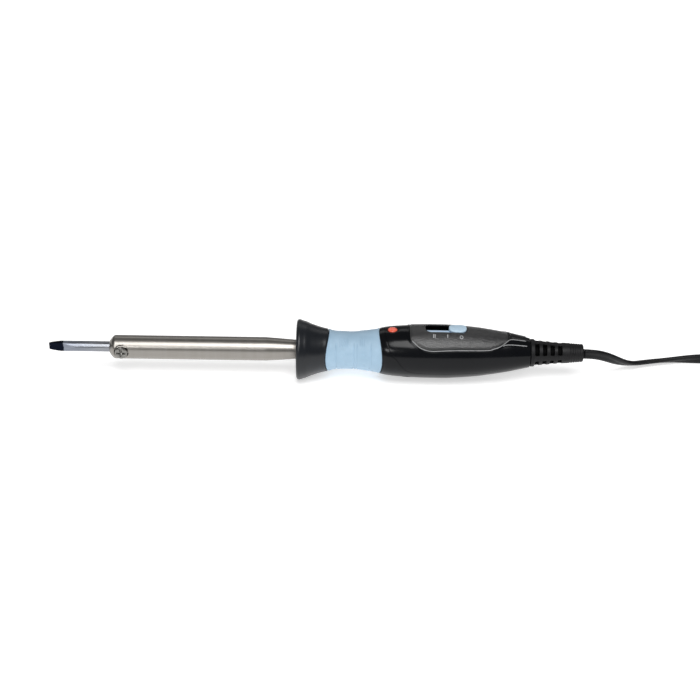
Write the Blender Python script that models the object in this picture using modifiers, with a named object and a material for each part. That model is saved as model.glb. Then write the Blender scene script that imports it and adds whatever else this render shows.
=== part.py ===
"""Soldering iron with a round grip, a slide switch and a flat twin cord, modelled piece by piece.

The iron lies along X with its tip towards -X. The origin is on the ground under the middle of the
iron's length, the ground being the plane that the collar's rim touches.
"""
import math

import bmesh
import bpy
import numpy as np
from mathutils import Matrix, Vector

MM = 0.001

# Clearances
GAP = 0.3 * MM              # between two pieces that touch or fit
LOOSE = 0.6 * MM            # between pieces that only pass each other

# Lengths along the iron, from the tip to the cord end
BIT_STICKOUT = 34.7 * MM
BARREL_LENGTH = 106.4 * MM
COLLAR_LENGTH = 18.7 * MM
GRIP_LENGTH = 28.4 * MM
HANDLE_LENGTH = 85.6 * MM
RELIEF_LENGTH = 30.6 * MM

# Bit, socket and heater
BIT_RADIUS = 3.0 * MM
BIT_EDGE_RADIUS = 1.95 * MM
BIT_TAPER = 6.9 * MM
BIT_FLAT_LENGTH = 15.7 * MM
BIT_EDGE_THICKNESS = 1.0 * MM
BIT_INSERTED = 53.0 * MM
SOCKET_WALL = 0.6 * MM
BOSS_LENGTH = 12.0 * MM
MICA_WALL = 0.2 * MM
HEATER_WIRE_RADIUS = 0.2 * MM
HEATER_TURNS = 8
POINTS_PER_TURN = 10
HEATER_LENGTH = 50.0 * MM
BEAD_LENGTH = 18.0 * MM
LEAD_RADIUS = 0.6 * MM
LEAD_SPACING = 3.6 * MM
MAINS_LEAD_SIDE = 1.1 * MM

# Bit screw
SCREW_FROM_NOSE = 7.1 * MM
BIT_SCREW_RADIUS = 2.0 * MM
BIT_SCREW_HEAD_RADIUS = 3.55 * MM
BIT_SCREW_PROUD = 1.35 * MM

# Barrel
HEATER_ROOM = 3.75 * MM         # from the bit's side to the barrel's outside
BARREL_RADIUS = BIT_RADIUS + HEATER_ROOM
BARREL_WALL = 0.8 * MM
BARREL_TAPER_LENGTH = 17.5 * MM
BARREL_REAR_RADIUS = 5.5 * MM
BARREL_NECK_RADIUS = 4.6 * MM
BARREL_RIM_RADIUS = 8.6 * MM
BARREL_RIM_THICKNESS = 0.9 * MM

# Collar, grip and handle
COLLAR_RADIUS = 17.3 * MM
COLLAR_REAR_RADIUS = 12.3 * MM
COLLAR_SOLID = 10.1 * MM
CORE_RADIUS = 9.5 * MM
CORE_WALL = 1.1 * MM
CORE_WEB = 2.0 * MM
CORE_FLANGE_RADIUS = 11.2 * MM
CORE_FLANGE_THICKNESS = 1.8 * MM
GRIP_FRONT_RADIUS = 11.7 * MM
GRIP_WAIST_RADIUS = 10.7 * MM
GRIP_REAR_RADIUS = 12.6 * MM
HANDLE_RADIUS = 15.25 * MM
SHELL_WALL = 2.0 * MM
FRONT_LIP = 6.2 * MM
REAR_LIP = 4.0 * MM
SADDLE_FRONT = 2.0 * MM     # how far the grip's front bulges at the sides
SADDLE_REAR = 1.9 * MM      # how far its rear does
SADDLE_REACH = 3.5 * MM     # how fast that bulge fades along X

# Collar screws
COLLAR_SCREW_COUNT = 3
COLLAR_SCREW_CIRCLE = 6.5 * MM
COLLAR_SCREW_RADIUS = 1.0 * MM
COLLAR_SCREW_HEAD = 1.5 * MM
COLLAR_SCREW_LENGTH = 8.5 * MM

# Switch, panel and indicator, measured back from the handle's front
PANEL_START = 16.9 * MM
PANEL_LENGTH = 56.4 * MM
PANEL_WALL = 1.2 * MM
PANEL_PROUD = 0.3 * MM
SLOT_START = 25.9 * MM
SLOT_WIDTH = 8.2 * MM
KNOB_LENGTH = 10.0 * MM
KNOB_TRAVEL = 13.0 * MM
KNOB_PROUD = 1.1 * MM           # over the panel at the slot's sides
SWITCH_SIDE = 0.9 * MM          # from the slot to the housing's wall
RAIL_WIDTH = 3.7 * MM
RAIL_SUNK = 0.4 * MM
SWITCH_WALL = 1.2 * MM
SWITCH_BOTTOM = 3.0 * MM
SWITCH_TOP = 9.8 * MM
CARRIAGE_LENGTH = 12.0 * MM
CONTACT_THICKNESS = 1.0 * MM
TERMINAL_THICKNESS = 0.8 * MM
TERMINAL_WIDTH = 3.0 * MM
LENS_FROM_FRONT = 7.4 * MM
LENS_RADIUS = 2.7 * MM
LENS_RIM = 0.9 * MM

# Screws that hold the two shells
POST_RADIUS = 2.4 * MM
SHELL_SCREW_RADIUS = 1.1 * MM
SHELL_SCREW_HEAD = 1.9 * MM
SEAT_THICKNESS = 2.0 * MM       # of the lower post under a screw's head
FRONT_POST = (15.7 * MM, 8.5 * MM)      # from the handle's front, and to each side
REAR_POST = (61.0 * MM, 5.8 * MM)

# Board and cord clamp
BOARD_TOP = -4.2 * MM
BOARD_THICKNESS = 1.6 * MM
BOARD_WIDTH = 15.0 * MM
COMPONENT_FROM_FRONT = 12.0 * MM
COMPONENT_SIDE = 5.0 * MM
DIODE_RADIUS = 1.35 * MM
DIODE_LENGTH = 5.2 * MM
RESISTOR_RADIUS = 1.1 * MM
RESISTOR_LENGTH = 6.2 * MM
PIN_RADIUS = 0.4 * MM
PIN_LENGTH = 3.0 * MM
CLAMP_FROM_END = 17.6 * MM
CLAMP_WIDTH = 13.4 * MM
CLAMP_LENGTH = 5.6 * MM
CLAMP_POST_RADIUS = 1.7 * MM
CLAMP_SCREW_SIDE = 4.5 * MM
CLAMP_SCREW_RADIUS = 0.9 * MM
CLAMP_SCREW_HEAD = 1.7 * MM
CLAMP_SCREW_DEPTH = 5.0 * MM
CLAMP_THICKNESS = 2.4 * MM

# Strain relief
RELIEF_HEAD_RADIUS = 7.2 * MM
RELIEF_NECK_RADIUS = 5.6 * MM
RELIEF_RING_RADIUS = 7.9 * MM
RELIEF_RING_LENGTH = 2.5 * MM
RELIEF_END_RADIUS = 5.3 * MM
RELIEF_WINDOWS = 4
RELIEF_PITCH = 4.15 * MM
RELIEF_WINDOW = 2.2 * MM
RELIEF_WINDOW_DEPTH = 4.3 * MM

# Cord, hank and plug
CORD_WIDTH = 5.8 * MM
CORD_THICKNESS = 3.0 * MM
CORD_TUBE_RADIUS = 2.1 * MM             # a round cord of about the same section
HANK_RUN = 117.0 * MM
HANK_FOLD_RADIUS = 20.8 * MM
HANK_COLUMN = 3.2 * MM
HANK_LAYER = 5.9 * MM
HANK_START = 232.0 * MM
TIE_WIDTH = 4.6 * MM
TIE_THICKNESS = 0.8 * MM
PLUG_START = 406.0 * MM
PLUG_SIDE = 10.0 * MM
PLUG_WIDTH = 24.0 * MM
PLUG_HEIGHT = 14.5 * MM
PLUG_LENGTH = 30.0 * MM
PLUG_TAIL = 12.0 * MM
PLUG_TAIL_RADIUS = 4.4 * MM
BLADE_LENGTH = 17.0 * MM
BLADE_WIDTH = 6.35 * MM
BLADE_THICKNESS = 1.5 * MM
BLADE_SPACING = 12.7 * MM

SEGMENTS = 28
FAR = 30.0 * MM             # a cutter's reach past what it cuts

# Stations along X, worked out from the lengths above
TOTAL = BIT_STICKOUT + BARREL_LENGTH + COLLAR_LENGTH + GRIP_LENGTH + HANDLE_LENGTH + RELIEF_LENGTH
X_TIP = -TOTAL / 2
X_NOSE = X_TIP + BIT_STICKOUT
X_COLLAR = X_NOSE + BARREL_LENGTH
X_GRIP = X_COLLAR + COLLAR_LENGTH
X_HANDLE = X_GRIP + GRIP_LENGTH
X_RELIEF = X_HANDLE + HANDLE_LENGTH
X_EXIT = X_RELIEF + RELIEF_LENGTH
AXIS_Z = COLLAR_RADIUS

# The collar's flare: share of its length, share of its largest radius
COLLAR_FLARE = [(0.12, 1.0), (0.21, 0.98), (0.30, 0.939), (0.42, 0.870), (0.54, 0.818), (0.66, 0.775),
                (0.79, 0.74)]

# The handle's swell: share of its length, share of its largest radius
HANDLE_SWELL = [(0.0, 0.853), (0.035, 0.897), (0.10, 0.942), (0.20, 0.982), (0.32, 0.998),
                (0.42, 1.0), (0.50, 0.977), (0.58, 0.945), (0.66, 0.901), (0.73, 0.846),
                (0.80, 0.784), (0.87, 0.710), (0.94, 0.628), (1.0, 0.552)]

MODEL = "soldering_iron"


def collection(name):
    """A new collection in the scene."""
    made = bpy.data.collections.new(name)
    bpy.context.scene.collection.children.link(made)
    return made


for old in list(bpy.data.objects):
    bpy.data.objects.remove(old, do_unlink=True)
parts = collection(MODEL)
cutters = collection("cutters")


def material(name, colour, roughness, metallic=0.0):
    """A Principled material of one colour."""
    made = bpy.data.materials.new(name)
    made.use_nodes = True
    shader = made.node_tree.nodes["Principled BSDF"]
    shader.inputs["Base Color"].default_value = (*colour, 1.0)
    shader.inputs["Roughness"].default_value = roughness
    shader.inputs["Metallic"].default_value = metallic
    return made


PLATED = material("plated_steel", (0.55, 0.54, 0.51), 0.32, 1.0)
BARREL_STEEL = material("barrel_steel", (0.50, 0.48, 0.45), 0.28, 1.0)
CERAMIC = material("ceramic", (0.80, 0.78, 0.72), 0.7)
MICA = material("mica", (0.55, 0.45, 0.32), 0.5)
NICHROME = material("nichrome", (0.35, 0.33, 0.31), 0.45, 1.0)
COPPER = material("copper", (0.80, 0.45, 0.30), 0.35, 1.0)
BLACK = material("black_plastic", (0.02, 0.02, 0.022), 0.3)
GREY_TEXTURE = material("textured_plastic", (0.06, 0.06, 0.062), 0.55)
BLUE_RUBBER = material("blue_rubber", (0.24, 0.46, 0.62), 0.55)
BLUE_PLASTIC = material("pale_blue_plastic", (0.48, 0.65, 0.78), 0.4)
RED_LENS = material("red_lens", (0.85, 0.12, 0.07), 0.15)
GLASS = material("lamp_glass", (0.85, 0.80, 0.75), 0.1)
BOARD = material("board_laminate", (0.35, 0.22, 0.10), 0.6)
SLEEVING = material("white_sleeving", (0.75, 0.74, 0.70), 0.7)
RUBBER = material("black_rubber", (0.03, 0.03, 0.033), 0.6)
CORD = material("cord_sheath", (0.025, 0.025, 0.027), 0.45)
BRASS = material("plug_brass", (0.80, 0.65, 0.35), 0.3, 1.0)


def smooth(obj):
    """Shade round faces smooth and keep real edges sharp."""
    obj.data.shade_smooth()
    obj.data.set_sharp_from_angle(angle=math.radians(35))


def settled(obj):
    """The object as a plain mesh with its modifiers or its curve worked out."""
    bpy.context.view_layer.update()
    graph = bpy.context.evaluated_depsgraph_get()
    mesh = bpy.data.meshes.new_from_object(obj.evaluated_get(graph))
    work = bmesh.new()
    work.from_mesh(mesh)
    bmesh.ops.remove_doubles(work, verts=work.verts, dist=0.001 * MM)
    work.to_mesh(mesh)
    work.free()
    name, home, finish = obj.name, obj.users_collection[0], obj.active_material
    world = obj.matrix_world.copy()
    hidden = obj.hide_render
    bpy.data.objects.remove(obj, do_unlink=True)
    made = bpy.data.objects.new(name, mesh)
    made.matrix_world = world
    home.objects.link(made)
    made.data.materials.clear()
    if finish:
        made.data.materials.append(finish)
    if hidden:
        made.hide_render = True
        made.display_type = "WIRE"
    smooth(made)
    return made


def placed(name, data, finish):
    """A new object: a part when it has a finish, else a cutter."""
    made = bpy.data.objects.new(name, data)
    if finish:
        parts.objects.link(made)
        data.materials.append(finish)
    else:
        cutters.objects.link(made)
        made.hide_render = True
        made.display_type = "WIRE"
    return made


ALONG_X = Matrix.Translation((0, 0, AXIS_Z)) @ Matrix.Rotation(math.radians(90), 4, "Y")


def facing(point, direction):
    """The place whose local Z runs along direction from point, point being given from the iron's axis."""
    turn = Vector((0, 0, 1)).rotation_difference(Vector(direction)).to_matrix().to_4x4()
    return Matrix.Translation(Vector(point) + Vector((0, 0, AXIS_Z))) @ turn


def turned(name, profile, finish=None, place=ALONG_X, segments=SEGMENTS):
    """A turned solid. The profile is (distance along, radius), up the outer side and back down the
    bore; a solid without a bore starts and ends at radius zero."""
    closed = profile[0][1] > 0
    count = len(profile)
    mesh = bpy.data.meshes.new(name)
    edges = [(i, i + 1) for i in range(count - 1)]
    if closed:
        edges.append((count - 1, 0))
    mesh.from_pydata([(radius, 0, along) for along, radius in reversed(profile)], edges, [])
    made = placed(name, mesh, finish)
    made.matrix_world = place
    screw = made.modifiers.new("Turn", "SCREW")
    screw.axis = "Z"
    screw.steps = segments
    screw.render_steps = segments
    screw.use_merge_vertices = True
    screw.merge_threshold = 0.001 * MM
    return settled(made)


def box(name, low, high, finish=None, bevel=0.0):
    """A block between two corners given from the iron's axis, with rounded edges."""
    low, high = Vector(low), Vector(high)
    mesh = bpy.data.meshes.new(name)
    work = bmesh.new()
    bmesh.ops.create_cube(work, size=1.0, matrix=Matrix.Diagonal((*(high - low), 1.0)))
    work.to_mesh(mesh)
    work.free()
    made = placed(name, mesh, finish)
    made.location = (low + high) / 2 + Vector((0, 0, AXIS_Z))
    if bevel:
        rounding = made.modifiers.new("Rounding", "BEVEL")
        rounding.width = bevel
        rounding.segments = 2
    return made


def cylinder(name, start, end, radius, finish=None, segments=20):
    """A round bar between two points given from the iron's axis."""
    length = (Vector(end) - Vector(start)).length
    profile = [(0, 0), (0, radius), (length, radius), (length, 0)]
    return turned(name, profile, finish, facing(start, Vector(end) - Vector(start)), segments)


def plate(name, outlines, low, high, finish=None, side="XZ"):
    """A flat piece cut to outlines, the first of which is its edge and the others its holes. In side XZ
    it lies between y = low and high and is given from the axis; in XY between heights above the
    ground; in YZ between two stations along X, with heights above the ground."""
    curve = bpy.data.curves.new(name, "CURVE")
    curve.dimensions = "2D"
    curve.fill_mode = "BOTH"
    curve.extrude = (high - low) / 2
    for outline in outlines:
        spline = curve.splines.new("POLY")
        spline.points.add(len(outline) - 1)
        for point, (a, b) in zip(spline.points, outline):
            point.co = (a, b, 0, 1)
        spline.use_cyclic_u = True
    made = placed(name, curve, finish)
    middle = (low + high) / 2
    if side == "XZ":
        turn = Matrix.Rotation(math.radians(90), 4, "X")
        made.matrix_world = Matrix.Translation((0, middle, AXIS_Z)) @ turn
    elif side == "XY":
        made.matrix_world = Matrix.Translation((0, 0, middle))
    else:
        turn = Matrix(((0, 0, 1, 0), (1, 0, 0, 0), (0, 1, 0, 0), (0, 0, 0, 1)))
        made.matrix_world = Matrix.Translation((middle, 0, 0)) @ turn
    return settled(made)


def wire(name, points, radius, finish, resolution=2):
    """A round wire or tube through points in world space."""
    curve = bpy.data.curves.new(name, "CURVE")
    curve.dimensions = "3D"
    curve.bevel_depth = radius
    curve.bevel_resolution = resolution
    curve.use_fill_caps = True
    spline = curve.splines.new("POLY")
    spline.points.add(len(points) - 1)
    for point, place in zip(spline.points, points):
        point.co = (*place, 1)
    return placed(name, curve, finish)


def cut(obj, tool, operation="DIFFERENCE"):
    """Cut, join or keep the shared part of obj with another solid."""
    step = obj.modifiers.new(operation.title(), "BOOLEAN")
    step.operation = operation
    step.object = tool
    step.solver = "EXACT"


def joined(name, solids):
    """One cutter mesh made of several solids that don't touch."""
    work = bmesh.new()
    for solid in solids:
        flat = settled(solid)
        flat.data.transform(flat.matrix_world)
        work.from_mesh(flat.data)
        bpy.data.objects.remove(flat, do_unlink=True)
    mesh = bpy.data.meshes.new(name)
    work.to_mesh(mesh)
    work.free()
    return placed(name, mesh, None)


def smooth_path(points, step):
    """Points about step apart along the smooth curve through all the given ones."""
    given = [Vector(p) for p in points]
    given = [2 * given[0] - given[1]] + given + [2 * given[-1] - given[-2]]
    path = []
    for a, b, c, d in zip(given, given[1:], given[2:], given[3:]):
        count = max(1, round((c - b).length / step))
        for i in range(count):
            t = i / count
            path.append(0.5 * (2 * b + (c - a) * t + (2 * a - 5 * b + 4 * c - d) * t * t
                               + (3 * b - a - 3 * c + d) * t ** 3))
    path.append(given[-2])
    return path


# Bit: plated copper rod with a chisel end whose edge stands upright ---------------------------------

bit_rear = X_NOSE + BIT_INSERTED
bit = turned("bit", [
    (X_TIP, 0), (X_TIP, BIT_EDGE_RADIUS), (X_TIP + BIT_TAPER / 3, BIT_EDGE_RADIUS + 0.48 * MM),
    (X_TIP + 2 * BIT_TAPER / 3, BIT_RADIUS - 0.25 * MM), (X_TIP + BIT_TAPER, BIT_RADIUS),
    (bit_rear - 0.5 * MM, BIT_RADIUS), (bit_rear, BIT_RADIUS - 0.5 * MM), (bit_rear, 0)], PLATED, segments=32)
flat_outline = [
    (X_TIP - 1 * MM, BIT_EDGE_THICKNESS / 2), (X_TIP, BIT_EDGE_THICKNESS / 2),
    (X_TIP + BIT_FLAT_LENGTH, BIT_RADIUS), (X_TIP + BIT_FLAT_LENGTH, 2 * BIT_RADIUS),
    (X_TIP - 1 * MM, 2 * BIT_RADIUS)]
for side, label in ((1, "far"), (-1, "near")):
    flat = plate(f"bit_flat_{label}", [[(x, side * y) for x, y in flat_outline]],
                 AXIS_Z - FAR, AXIS_Z + FAR, side="XY")
    cut(bit, flat)

# Socket: steel tube that grips the bit, with a boss for the screw -----------------------------------

socket_bore = BIT_RADIUS + GAP
socket_radius = socket_bore + SOCKET_WALL
barrel_bore = BARREL_RADIUS - BARREL_WALL
boss_radius = barrel_bore - LOOSE
x_mouth = X_NOSE + 1.3 * MM
x_boss = X_NOSE + 3.5 * MM
socket_floor = bit_rear + GAP
socket_end = socket_floor + 2 * MM
screw_x = X_NOSE + SCREW_FROM_NOSE
bit_socket = turned("bit_socket", [
    (x_mouth, socket_bore), (x_mouth, socket_radius), (x_boss, socket_radius), (x_boss, boss_radius),
    (x_boss + BOSS_LENGTH, boss_radius),
    (x_boss + BOSS_LENGTH, socket_radius), (socket_end, socket_radius), (socket_end, 0.4 * MM),
    (socket_floor, 0.4 * MM), (socket_floor, socket_bore)], BARREL_STEEL, segments=32)
cut(bit_socket, cylinder("bit_screw_hole", (screw_x, -FAR, 0), (screw_x, 0, 0), BIT_SCREW_RADIUS + GAP))

# Bit screw: pan head with a cross recess ------------------------------------------------------------

screw_face = BARREL_RADIUS + BIT_SCREW_PROUD
head_height = screw_face - boss_radius - GAP
screw_foot = BIT_RADIUS + GAP
bit_screw = turned("bit_screw", [
    (screw_foot, 0), (screw_foot, BIT_SCREW_RADIUS), (boss_radius + GAP, BIT_SCREW_RADIUS),
    (boss_radius + GAP, BIT_SCREW_HEAD_RADIUS), (screw_face - 0.45 * head_height, BIT_SCREW_HEAD_RADIUS),
    (screw_face - 0.15 * head_height, 0.82 * BIT_SCREW_HEAD_RADIUS),
    (screw_face, 0.45 * BIT_SCREW_HEAD_RADIUS), (screw_face, 0)],
    PLATED, facing((screw_x, 0, 0), (0, -1, 0)), 28)
arm, slot = 0.62 * BIT_SCREW_HEAD_RADIUS, 0.14 * BIT_SCREW_HEAD_RADIUS
recess_floor = -screw_face + 0.6 * head_height
for label, across, up in (("flat", arm, slot), ("upright", slot, arm)):
    cut(bit_screw, box(f"screw_recess_{label}", (screw_x - across, -FAR, -up),
                       (screw_x + across, recess_floor, up)))

# Barrel: steel tube, rolled in at the nose and swaged down to a rim that the collar traps ------------

pocket_floor = X_COLLAR + COLLAR_SOLID
rim_start = pocket_floor + GAP
rim_end = rim_start + BARREL_RIM_THICKNESS
taper_start = X_COLLAR - BARREL_TAPER_LENGTH
neck_start = X_COLLAR + 5 * MM
nose_bore = BIT_RADIUS + GAP
barrel_tube = turned("barrel_tube", [
    (X_NOSE, nose_bore), (X_NOSE, BARREL_RADIUS - 2.2 * MM), (X_NOSE + 0.8 * MM, BARREL_RADIUS - 0.8 * MM),
    (X_NOSE + 2.8 * MM, BARREL_RADIUS), (taper_start, BARREL_RADIUS), (X_COLLAR, BARREL_REAR_RADIUS),
    (neck_start, BARREL_NECK_RADIUS), (rim_start, BARREL_NECK_RADIUS), (rim_start, BARREL_RIM_RADIUS),
    (rim_end, BARREL_RIM_RADIUS), (rim_end, BARREL_NECK_RADIUS - BARREL_WALL),
    (neck_start, BARREL_NECK_RADIUS - BARREL_WALL), (X_COLLAR, BARREL_REAR_RADIUS - BARREL_WALL),
    (taper_start, barrel_bore), (X_NOSE + 3.2 * MM, barrel_bore),
    (X_NOSE + 1.0 * MM, BARREL_RADIUS - 2.2 * MM), (X_NOSE + 1.0 * MM, nose_bore)], BARREL_STEEL)
cut(barrel_tube, cylinder("head_hole", (screw_x, -FAR, 0), (screw_x, 0, 0), BIT_SCREW_HEAD_RADIUS + GAP))

# Heater: winding between two mica sleeves, its two leads held by a ceramic bead ---------------------

heater_start = x_boss + BOSS_LENGTH + GAP
heater_end = heater_start + HEATER_LENGTH
mica_in = socket_radius + GAP
winding_radius = mica_in + MICA_WALL + GAP + HEATER_WIRE_RADIUS
mica_out = winding_radius + HEATER_WIRE_RADIUS + GAP
for name, radius in (("inner_mica", mica_in), ("outer_mica", mica_out)):
    turned(name, [(heater_start, radius), (heater_start, radius + MICA_WALL),
                  (heater_end, radius + MICA_WALL), (heater_end, radius)], MICA, segments=24)
coil = []
for i in range(HEATER_TURNS * POINTS_PER_TURN + 1):
    angle = 2 * math.pi * i / POINTS_PER_TURN
    share = i / (HEATER_TURNS * POINTS_PER_TURN)
    coil.append((heater_start + 1 * MM + share * (HEATER_LENGTH - 2 * MM),
                 winding_radius * math.cos(angle), AXIS_Z + winding_radius * math.sin(angle)))
wire("heater_winding", coil, HEATER_WIRE_RADIUS, NICHROME, 1)

bead_start = heater_end + 6 * MM
bead_end = bead_start + BEAD_LENGTH
bead_radius = barrel_bore - LOOSE
rear_bead = turned("rear_bead", [(bead_start, 0), (bead_start, bead_radius), (bead_end, bead_radius),
                                 (bead_end, 0)], CERAMIC, segments=24)
board_front = X_HANDLE + FRONT_POST[0] + POST_RADIUS + 2 * MM
lead_height = BOARD_TOP + GAP + LEAD_RADIUS
cut(rear_bead, joined("lead_holes", [
    cylinder(f"lead_hole_{i}", (bead_start - 1 * MM, y, 0), (bead_end + 1 * MM, y, 0),
             LEAD_RADIUS + GAP, segments=12)
    for i, y in enumerate((-LEAD_SPACING / 2, LEAD_SPACING / 2))]))
for i, y in enumerate((-LEAD_SPACING / 2, LEAD_SPACING / 2)):
    route = [(heater_end + 1 * MM, y, 0), (bead_end, y, 0), (X_GRIP, y, 0), (X_HANDLE, y, 0),
             (board_front - 6 * MM, 1.4 * y, 0.5 * lead_height), (board_front + 3 * MM, 1.4 * y, lead_height),
             (board_front + 5 * MM, 1.4 * y, lead_height)]
    wire(f"heater_lead_{i + 1}", [(x, y, z + AXIS_Z) for x, y, z in smooth_path(route, 5 * MM)],
         LEAD_RADIUS, SLEEVING)

# Collar: heat shield that stops the hand, and the face that seats in a stand ------------------------

collar_pocket = CORE_RADIUS + GAP
neck_bore = BARREL_NECK_RADIUS + GAP
collar = turned("collar", [
    (X_COLLAR, BARREL_REAR_RADIUS + GAP), (X_COLLAR, COLLAR_RADIUS - 2.4 * MM),
    (X_COLLAR + 0.5 * MM, COLLAR_RADIUS - 1.1 * MM), (X_COLLAR + 1.3 * MM, COLLAR_RADIUS - 0.3 * MM)]
    + [(X_COLLAR + along * COLLAR_LENGTH, size * COLLAR_RADIUS) for along, size in COLLAR_FLARE]
    + [(X_GRIP - GAP, COLLAR_REAR_RADIUS), (X_GRIP - GAP, collar_pocket), (pocket_floor, collar_pocket),
       (pocket_floor, neck_bore), (neck_start, neck_bore)], BLACK, segments=36)

# Grip: stiff core under a soft blue sleeve whose ends follow a saddle --------------------------------

core_front = rim_end + GAP
core_bore = CORE_RADIUS - CORE_WALL
lip_end = X_HANDLE + FRONT_LIP
core_end = lip_end + GAP + CORE_FLANGE_THICKNESS
grip_core = turned("grip_core", [
    (core_front, LEAD_SPACING), (core_front, CORE_RADIUS), (lip_end + GAP, CORE_RADIUS),
    (lip_end + GAP, CORE_FLANGE_RADIUS), (core_end, CORE_FLANGE_RADIUS), (core_end, core_bore),
    (core_front + CORE_WEB, core_bore), (core_front + CORE_WEB, LEAD_SPACING)], BLACK)
sleeve_bore = CORE_RADIUS + GAP
sleeve_front, sleeve_rear = X_GRIP, X_HANDLE - GAP
sleeve_length = sleeve_rear - sleeve_front
grip_outline = [(0.0, GRIP_FRONT_RADIUS), (0.10, GRIP_FRONT_RADIUS - 0.55 * MM)]
for share in (0.2, 0.3, 0.4, 0.5, 0.6, 0.7, 0.8, 0.9, 1.0):
    swell = ((share - 0.38) / 0.62) ** 2
    grip_outline.append((share, GRIP_WAIST_RADIUS + (GRIP_REAR_RADIUS - GRIP_WAIST_RADIUS) * swell))
grip_sleeve = turned("grip_sleeve", [(sleeve_front, sleeve_bore)]
                     + [(sleeve_front + s * sleeve_length, r) for s, r in grip_outline]
                     + [(sleeve_rear, sleeve_bore), (sleeve_rear - 2 * MM, sleeve_bore),
                        (sleeve_front + 2 * MM, sleeve_bore)], BLUE_RUBBER, segments=36)


def saddle_shift(x, y, z):
    """How far a point moves along X so that the grip's ends bulge at the sides: forwards at its front,
    back at its rear, most at the sides and nothing on top and below."""
    side = y * y / max(y * y + z * z, 1e-12)
    front = math.exp(-((x - X_GRIP) / SADDLE_REACH) ** 2)
    rear = math.exp(-((x - X_HANDLE) / SADDLE_REACH) ** 2)
    return side * (SADDLE_REAR * rear - SADDLE_FRONT * front)


def saddled(obj):
    """Give a turned piece the grip's saddle-shaped ends."""
    back = obj.matrix_world.inverted()
    for vertex in obj.data.vertices:
        place = obj.matrix_world @ vertex.co
        place.x += saddle_shift(place.x, place.y, place.z - AXIS_Z)
        vertex.co = back @ place


saddled(collar)
saddled(grip_sleeve)

# Collar screws, from inside the core through the barrel's rim ---------------------------------------

head_seat = core_front + CORE_WEB + GAP
for i in range(COLLAR_SCREW_COUNT):
    angle = math.radians(90 + 360 * i / COLLAR_SCREW_COUNT)
    y, z = COLLAR_SCREW_CIRCLE * math.cos(angle), COLLAR_SCREW_CIRCLE * math.sin(angle)
    tip = head_seat - COLLAR_SCREW_LENGTH
    turned(f"collar_screw_{i + 1}", [
        (tip, 0), (tip, COLLAR_SCREW_RADIUS), (head_seat, COLLAR_SCREW_RADIUS), (head_seat, COLLAR_SCREW_HEAD),
        (head_seat + 0.9 * MM, COLLAR_SCREW_HEAD), (head_seat + 1.3 * MM, 0.6 * COLLAR_SCREW_HEAD),
        (head_seat + 1.3 * MM, 0)], PLATED, Matrix.Translation((0, y, z)) @ ALONG_X, 16)
    for piece in (collar, barrel_tube, grip_core):
        cut(piece, cylinder(f"{piece.name}_hole_{i + 1}", (tip - GAP, y, z), (head_seat + 0.01 * MM, y, z),
                            COLLAR_SCREW_RADIUS + GAP, None, 16))

# Handle shells: one swelling tube, split along a swept crease ---------------------------------------


def handle_radius(x):
    """The handle's outer radius at a station along X."""
    shares, sizes = zip(*HANDLE_SWELL)
    return HANDLE_RADIUS * float(np.interp((x - X_HANDLE) / HANDLE_LENGTH, shares, sizes))


stations = [X_HANDLE + share * HANDLE_LENGTH for share, size in HANDLE_SWELL]
lip_radius = CORE_RADIUS + GAP
rear_bore = RELIEF_NECK_RADIUS + GAP
rear_wall = X_RELIEF - REAR_LIP
hollow_front = lip_end


def shell_blank(name, finish):
    """The whole handle shell before it is split: the wall, the front lip and the rear lip."""
    inner = [x for x in stations if hollow_front + 1 * MM < x < rear_wall - 1 * MM]
    profile = ([(X_HANDLE, lip_radius)] + [(x, handle_radius(x)) for x in stations]
               + [(X_RELIEF, rear_bore), (rear_wall, rear_bore),
                  (rear_wall, handle_radius(rear_wall) - SHELL_WALL)]
               + [(x, handle_radius(x) - SHELL_WALL) for x in reversed(inner)]
               + [(hollow_front, handle_radius(hollow_front) - SHELL_WALL), (hollow_front, lip_radius)])
    made = turned(name, profile, finish)
    saddled(made)
    return made


# The crease from the top of the front edge down the side and back along it: distance from the handle's
# front in mm, height over the axis as a share of the handle's largest radius
CREASE = [(2.9, 0.951), (3.2, 0.807), (4.3, 0.675), (5.4, 0.505), (6.5, 0.334), (9.8, 0.131), (12.9, -0.151),
          (16.5, -0.361), (23.1, -0.452), (32.0, -0.466)]
crease = [(X_HANDLE + x * MM, height * HANDLE_RADIUS) for x, height in CREASE]
crease.append((X_RELIEF + FAR, crease[-1][1]))


def above_crease(name, drop):
    """Everything over the crease, lowered by drop."""
    outline = [(x - drop, z - drop) for x, z in crease]
    return plate(name, [outline + [(X_RELIEF + FAR, FAR), (crease[0][0] - drop, FAR)]], -FAR, FAR)


upper_shell = shell_blank("upper_shell", BLACK)
lower_shell = shell_blank("lower_shell", BLACK)
cut(upper_shell, above_crease("upper_region", 0.0), "INTERSECT")
cut(lower_shell, above_crease("upper_region_and_seam", GAP))


def inside_wall(name, share):
    """A solid that fills the handle up to a share of the wall's thickness, to trim what joins the wall."""
    depth = (1 - share) * SHELL_WALL
    front, rear = X_HANDLE + 1 * MM, X_RELIEF - 1 * MM
    profile = [(front, 0), (front, handle_radius(X_HANDLE) - depth)]
    profile += [(x, handle_radius(x) - depth) for x in stations[1:-1]]
    profile += [(rear, handle_radius(X_RELIEF) - depth), (rear, 0)]
    return turned(name, profile)


def trimmed(name, solids, share=0.5):
    """Solids joined in one mesh and trimmed inside the wall, ready to be united with a shell."""
    made = joined(name, solids)
    cut(made, inside_wall(f"{name}_trim", share), "INTERSECT")
    return made


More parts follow.
